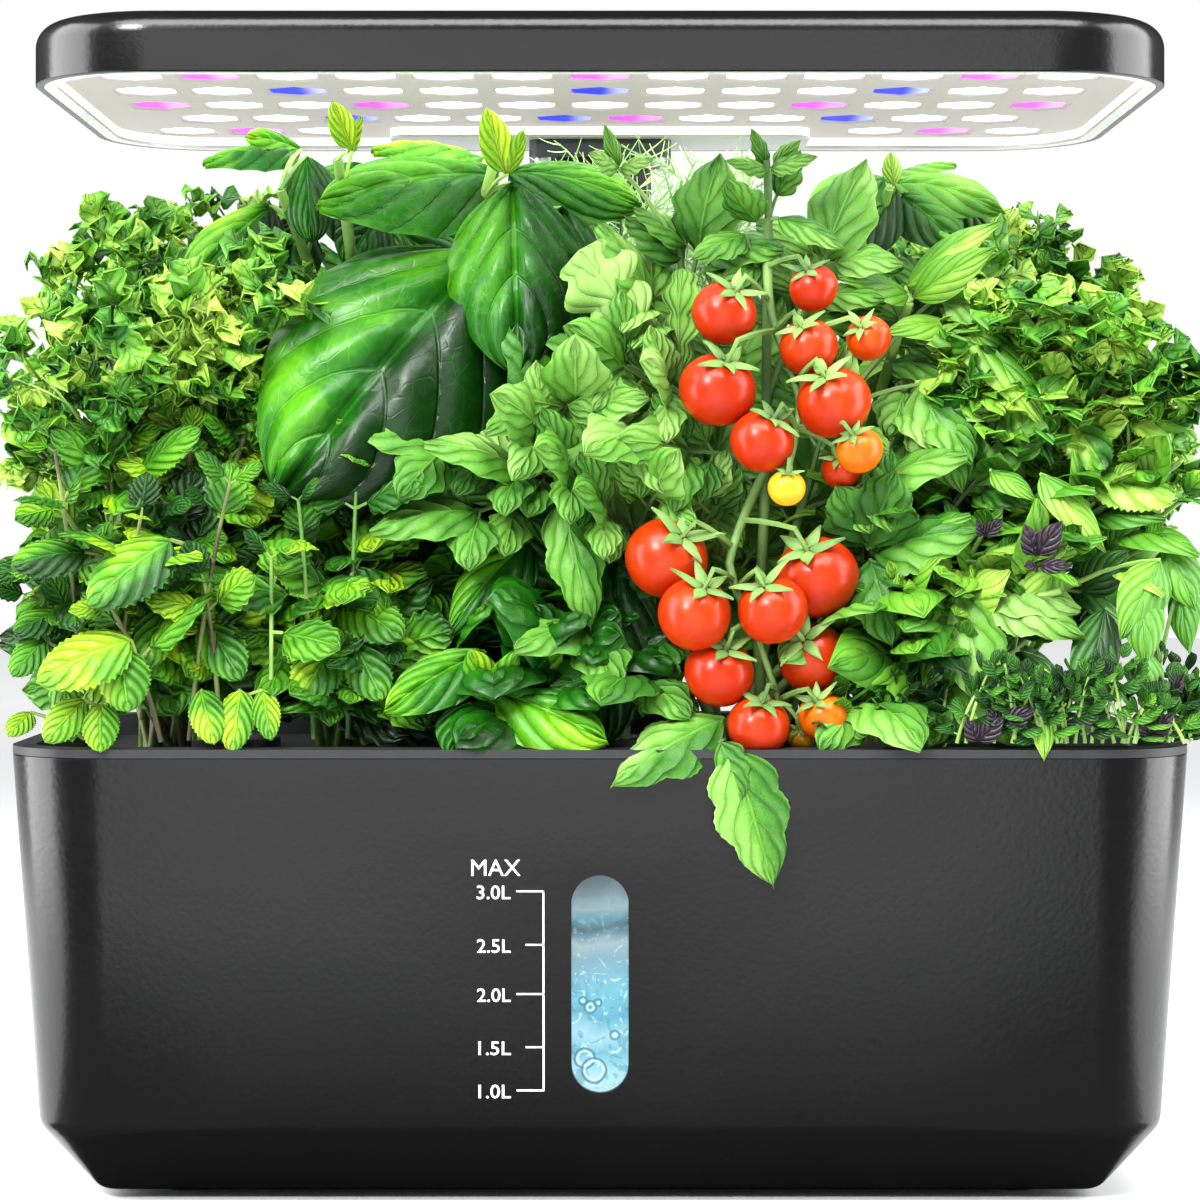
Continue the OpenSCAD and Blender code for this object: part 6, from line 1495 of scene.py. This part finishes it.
def make_curly_parsley():
    grow = Growth("curly_parsley_fronds", 0, (-151, -66, 114), (-66, 74, 255), 26)
    def top(x):
        return 246 - 1.3 * max(0.0, -112 - x)
    ends = spread_out(grow, 38, (-136, -34, 176), (-76, 64, 240), top, 0.35)
    front = ((-140, -52, 186), (-132, -56, 196), (-120, -50, 206), (-106, -46, 210), (-92, -42, 208),
        (-80, -40, 214), (-142, -44, 204), (-128, -30, 222), (-86, -30, 226))
    ends += [np.array(p, float) for p in front]
    for end in ends:
        # Higher fronds get a lighter tone: painted light on the top of the plant.
        frond(grow, "curly", end, 6, 11.0, 0.60 + 0.0018 * (end[2] - 210))
    grow.done("curly_parsley_plant", [PARSLEY_LEAF, STALK])

def make_flat_parsley():
    grow = Growth("flat_parsley_fronds", 4, (80, -74, 114), (151, 74, 252), 27)
    def top(x):
        return 244 - 1.3 * max(0.0, x - 112)
    ends = spread_out(grow, 40, (92, -40, 176), (140, 64, 240), top, 0.35)
    front = ((140, -50, 196), (130, -54, 204), (118, -48, 210), (142, -44, 184), (104, -44, 214))
    ends += [np.array(p, float) for p in front]
    for end in ends:
        # Higher fronds get a lighter tone: painted light on the top of the plant.
        frond(grow, "flat", end, 7, 12.4, 0.58 + 0.0016 * (end[2] - 205), 6)
    for end in ((138, -40, 208), (122, -52, 196), (144, -56, 172), (132, -50, 180), (112, -46, 200),
            (146, -30, 190)):
        grow.shoot("mint", grow.stem(end, 1.0, 0.6, 0.6), 4, 22, 0.80, 0.50, 0.2, 0.12, 0.6, top=0.5, nod=0.6)
    grow.heroes(HEROES["flat_parsley"])
    grow.done("flat_parsley_plant", [PARSLEY_LEAF, STALK])

def make_dill():
    grow = Growth("dill_fronds", 2, (-20, -34, 118), (52, 58, 270.5), 28)
    for k in range(38):
        end = (-8 + 54 * ((k * GOLDEN) % 1.0), grow.dice.uniform(-28, 46), grow.dice.uniform(205, 266))
        path = grow.stem(end, 1.1, 0.4, 0.6)
        for b in range(13):
            at = path[14 - b // 2]
            lean = np.array((grow.dice.uniform(-1, 1), grow.dice.uniform(-1, 1), grow.dice.uniform(0.1, 1.0)))
            tip = at + unit(lean) * grow.dice.uniform(12, 24)
            if not grow.clear(tip):
                continue
            branch = bow_path(at, tip, (0, 0, 2.5), 6)
            grow.stalk("thread", branch, 0.32, 0.18, 0.6)
            for k2 in range(8):
                root = branch[1 + k2 % 5]
                out = unit(unit(lean) + np.array([grow.dice.uniform(-1, 1) for _ in range(3)]) * 1.1)
                thread_tip = root + out * grow.dice.uniform(5, 11)
                if grow.clear(thread_tip):
                    thread = bow_path(root, thread_tip, (0, 0, -0.8), 4)
                    grow.stalk("thread", thread, 0.24, 0.12, grow.dice.uniform(0.4, 1.0))
    grow.done("dill_plant", [DILL_THREAD, DILL_THREAD])

def compound(grow, base, tip, width, pairs, tone, face=(0, -0.6, 0.8)):
    """A tomato leaf: pairs of lobed leaflets along one stalk, and a larger one at its end."""
    base, tip = np.array(base, float), np.array(tip, float)
    path = bow_path(base, tip, (0, 0, 0.10 * np.linalg.norm(tip - base)), 9)
    grow.stalk("petiole", path, 0.9, 0.5, 0.5)
    run = unit(tip - base)
    side = unit(np.cross(run, face))
    grow.leaf("tomato", path[-2], tip + run * width * 1.1, width * 0.95, face, 0.8, (tone, 0.15, 0.1))
    for k in range(pairs):
        at = path[7 - 2 * k] if 7 - 2 * k > 0 else path[1]
        for way in (-1, 1):
            out = unit(side * way + run * 0.55 + np.array((0, -0.1, -0.25)))
            root = at + out * width * 0.14
            long = width * grow.dice.uniform(0.75, 1.0) * (1 - 0.12 * k)
            if grow.clear(root + out * long):
                grow.stalk("thread", [at, root, root + out], 0.4, 0.3, 0.5)
                grow.leaf("tomato", root, root + out * long, long * 0.74, face, grow.dice.uniform(0.5, 1.0),
                    (tone + grow.dice.gauss(0, 0.10), 0.12, 0.05), grow.dice.uniform(-0.4, 0.4))

def make_tomato_plant():
    grow = Growth("tomato_plant_leaves", 8, (-62, -87, 78), (108, 8, 268), 29)
    main = [grow.foot] + [np.array(p) for p in MAIN_STEM]
    grow.stalk("stem", main, 1.7, 0.9, 0.45)
    grow.stems.append(np.array(main))
    for path in (UPPER_TRUSS, LOWER_TRUSS):
        grow.stalk("stem", path, 1.25, 0.7, 0.55)
    for end in ((74, -50, 148), (64, -44, 205), (-6, -46, 182), (20, -40, 236), (88, -52, 160),
            (0, -52, 150)):
        grow.stem(end, 1.6, 0.9, 0.45)
    grow.heroes(HEROES["cherry_tomato"])
    for end, wide in LARGE_LEAVES:
        root = nearest(grow.stems, np.array(end) + (8, 10, -6))
        compound(grow, root, end, wide, 2, 0.58 + grow.dice.gauss(0, 0.10), (0, -1, 0.35))
    for end in SIDE_LEAVES:
        end = np.array(end, float)
        near = min(grow.stems, key=lambda p: np.linalg.norm(p - end, axis=1).min())
        k = int(np.argmin(np.linalg.norm(near - end, axis=1)))
        root = near[max(0, k - 2)]
        if np.linalg.norm(root - end) < 14:
            root = near[max(0, k - 5)]
        compound(grow, root, end, 22, 2, 0.50 + grow.dice.gauss(0, 0.12))
    fruit_stalks(grow)
    grow.done("cherry_tomato_plant", [TOMATO_LEAF, TOMATO_STALK])

def nearest(paths, spot):
    points = np.concatenate([np.array(p, float) for p in paths])
    dense = np.concatenate([points[:-1] * (1 - t) + points[1:] * t for t in (0, 0.33, 0.66)])
    return dense[int(np.argmin(np.linalg.norm(dense - spot, axis=1)))]

def fruit_way(centre, radius):
    """Where a fruit hangs from and which way its calyx looks."""
    truss = UPPER_TRUSS if centre[2] > 170 else LOWER_TRUSS
    root = nearest([truss], np.array(centre) + (0, 0, radius))
    toward = unit(root - np.array(centre))
    return root, unit(toward * 0.6 + np.array((0.0, -1.0, 0.75)))

def fruit_stalks(grow):
    """The stalk of each fruit and the star of five sepals on it."""
    for centre, radius, _ in FRUIT:
        root, way = fruit_way(centre, radius)
        crown = np.array(centre) + way * radius * 0.86
        knee = crown + way * radius * 0.5 + (0, 0, 1.0)
        path = np.concatenate([bow_path(root, knee, (0, -1.5, 1.0), 6), [crown]])
        grow.stalk("petiole", path, 0.75, 0.65, 0.6)
        side = unit(np.cross(way, (0.2, 0.1, 1.0)))
        fore = np.cross(way, side)
        turn = grow.dice.uniform(0, 6.28)
        for k in range(5):
            around = turn + k * 2 * math.pi / 5 + grow.dice.uniform(-0.15, 0.15)
            out = side * math.cos(around) + fore * math.sin(around)
            long = radius * grow.dice.uniform(0.75, 1.05)
            base = crown + way * 0.4 + out * 0.5
            tip = base + unit(out + way * grow.dice.uniform(-0.05, 0.35)) * long
            grow.leaf("sepal", base, tip, radius * 0.36, way, grow.dice.uniform(0.1, 0.9),
                (0.62 + grow.dice.gauss(0, 0.12), 0.25, 0.0))

def make_fruit():
    """Cherry tomatoes: nearly round, a little flattened, sunk where the stalk joins."""
    bm = bmesh.new()
    bmesh.ops.create_uvsphere(bm, u_segments=28, v_segments=18, radius=1.0)
    for vert in bm.verts:
        around = math.atan2(vert.co.y, vert.co.x)
        far = math.hypot(vert.co.x, vert.co.y)
        vert.co.z *= 0.94
        if vert.co.z > 0:
            vert.co.z -= 0.16 * max(0.0, 1 - far / 0.5) ** 1.5
        rib = 1 + 0.012 * math.cos(5 * around) * far
        vert.co.x, vert.co.y = vert.co.x * rib, vert.co.y * rib
    work, co = work_mesh(bm, "work_fruit")
    grow = Growth("tomato_fruit", 8, (0, 0, 0), (0, 0, 0), 30)
    for centre, radius, tone in FRUIT:
        _, way = fruit_way(centre, radius)
        side = unit(np.cross(way, (0.3, 0.2, 1.0)))
        fore = np.cross(way, side)
        size = radius * np.array((grow.dice.uniform(0.97, 1.03), grow.dice.uniform(0.97, 1.03), 1.0))
        spots = np.array(centre) + np.outer(co[:, 0] * size[0], side)
        spots = spots + np.outer(co[:, 1] * size[1], fore) + np.outer(co[:, 2] * size[2], way)
        # Each fruit turns lighter and more orange towards its calyx end, which faces up and to the front:
        # painted light on its top.
        grow.place(work, spots, np.full(len(co), tone) + 0.12 * np.maximum(co[:, 2], 0))
    grow.done(None, [FRUIT_SKIN])

def make_purple_basil():
    grow = Growth("purple_basil_leaves", 9, (50, -86, 113.0), (151, 2, 224), 31)
    for end in ((118, -60, 160), (140, -62, 152), (112, -70, 150), (134, -56, 176), (104, -66, 152)):
        grow.stem(end, 1.6, 0.9, 0.6, 1.0)
    for end in spread_out(grow, 28, (66, -68, 132), (146, -8, 200), lambda x: 192, 0.15):
        if not grow.clear(end):
            end[2] = 150 + 0.35 * (end[2] - 113)
        path = grow.stem(end, 1.3, 0.6, 0.55)
        grow.shoot("smooth", path, 4, 27, 0.62, 0.46, 0.18, 0.12)
    for k in range(52):
        x = 58 + 90 * ((k * GOLDEN) % 1.0)
        end = np.array((x, grow.dice.uniform(-80, -50), grow.dice.uniform(118, 134)))
        if not grow.clear(end):
            end[1] = grow.dice.uniform(-84.5, -81)
        foot_y = min(end[1], -74) if end[1] > -81 else -81.5
        path = grow.stem(end, 0.5, 0.3, 0.6, foot=(x + grow.dice.uniform(-6, 6), foot_y, 113.6))
        grow.shoot("round", path, 7, 7.0, 0.66, 0.16, 0.14, 0.12, 0.3, top=0.7)
    grow.heroes(HEROES["purple_basil"])
    grow.done("purple_basil_plant", [SMOOTH_LEAF, STALK])
    dark = Growth("purple_tips", 9, (50, -86, 113.0), (151, 2, 224), 32)
    for base, tip, width, droop, tone in PURPLE_TIPS:
        other = np.array(base) + (np.array(tip) - base) * (-0.5, 0.6, 0.9)
        dark.leaf("smooth", base, tip, width, FACES["front"], droop, tone)
        dark.leaf("smooth", base, other, width, FACES["half"], droop, tone)
    dark.done(None, [PURPLE_LEAF])

def make_plants():
    make_leaf_kinds()
    make_tube_kinds()
    make_mint()
    make_lemon_balm()
    make_sweet_basil()
    make_tall_basil()
    make_smooth_basil()
    make_curly_parsley()
    make_flat_parsley()
    make_dill()
    make_tomato_plant()
    make_fruit()
    make_purple_basil()
    for work, _ in list(LEAVES.values()) + list(TUBES.values()):
        bpy.data.meshes.remove(work)


add_camera()
add_studio()
add_floor(FLOOR)
for side, name, turn in ((-1, "flag_left", 37), (1, "flag_right", 33)):
    add_flag(name, (0.10, 0.02, 0.003), (0.40, 0.50, 0.003), (0.62, 0.85, 0.50), (0.116 * side, -0.06, 0),
        180 + turn * side, RUBBER)
add_flag("card_front", (3.2, 2.6, 0.0), (3.2, 2.6, 0.6), (3.2, 2.6, 1.2), (0, 0, 0), 180, CARD)
add_flag("flag_top", (1.6, -0.32, 1.5), (1.6, 0.5, 1.5), (1.6, 1.3, 1.5), (0, 0, 0), 0, RUBBER)
# A sheet of painted shadow on the floor before the tank, seen only in reflections.
add_flag("front_shadow_sheet", (0.30, 0.056, 0.002), (0.60, 0.60, 0.002), (1.1, 1.45, 0.002), (0, 0, 0), 180,
    FLOOR_SHADOW_SHEET)
add_flag("flag_back", (2.2, 1.3, 0.35), (2.2, 1.3, 0.9), (2.2, 1.3, 1.5), (0, 0, 0), 0, RUBBER)
dress_frame()
make_tank()
make_water()
make_scale()
make_lamp()
make_lamp_lights()
make_plants()
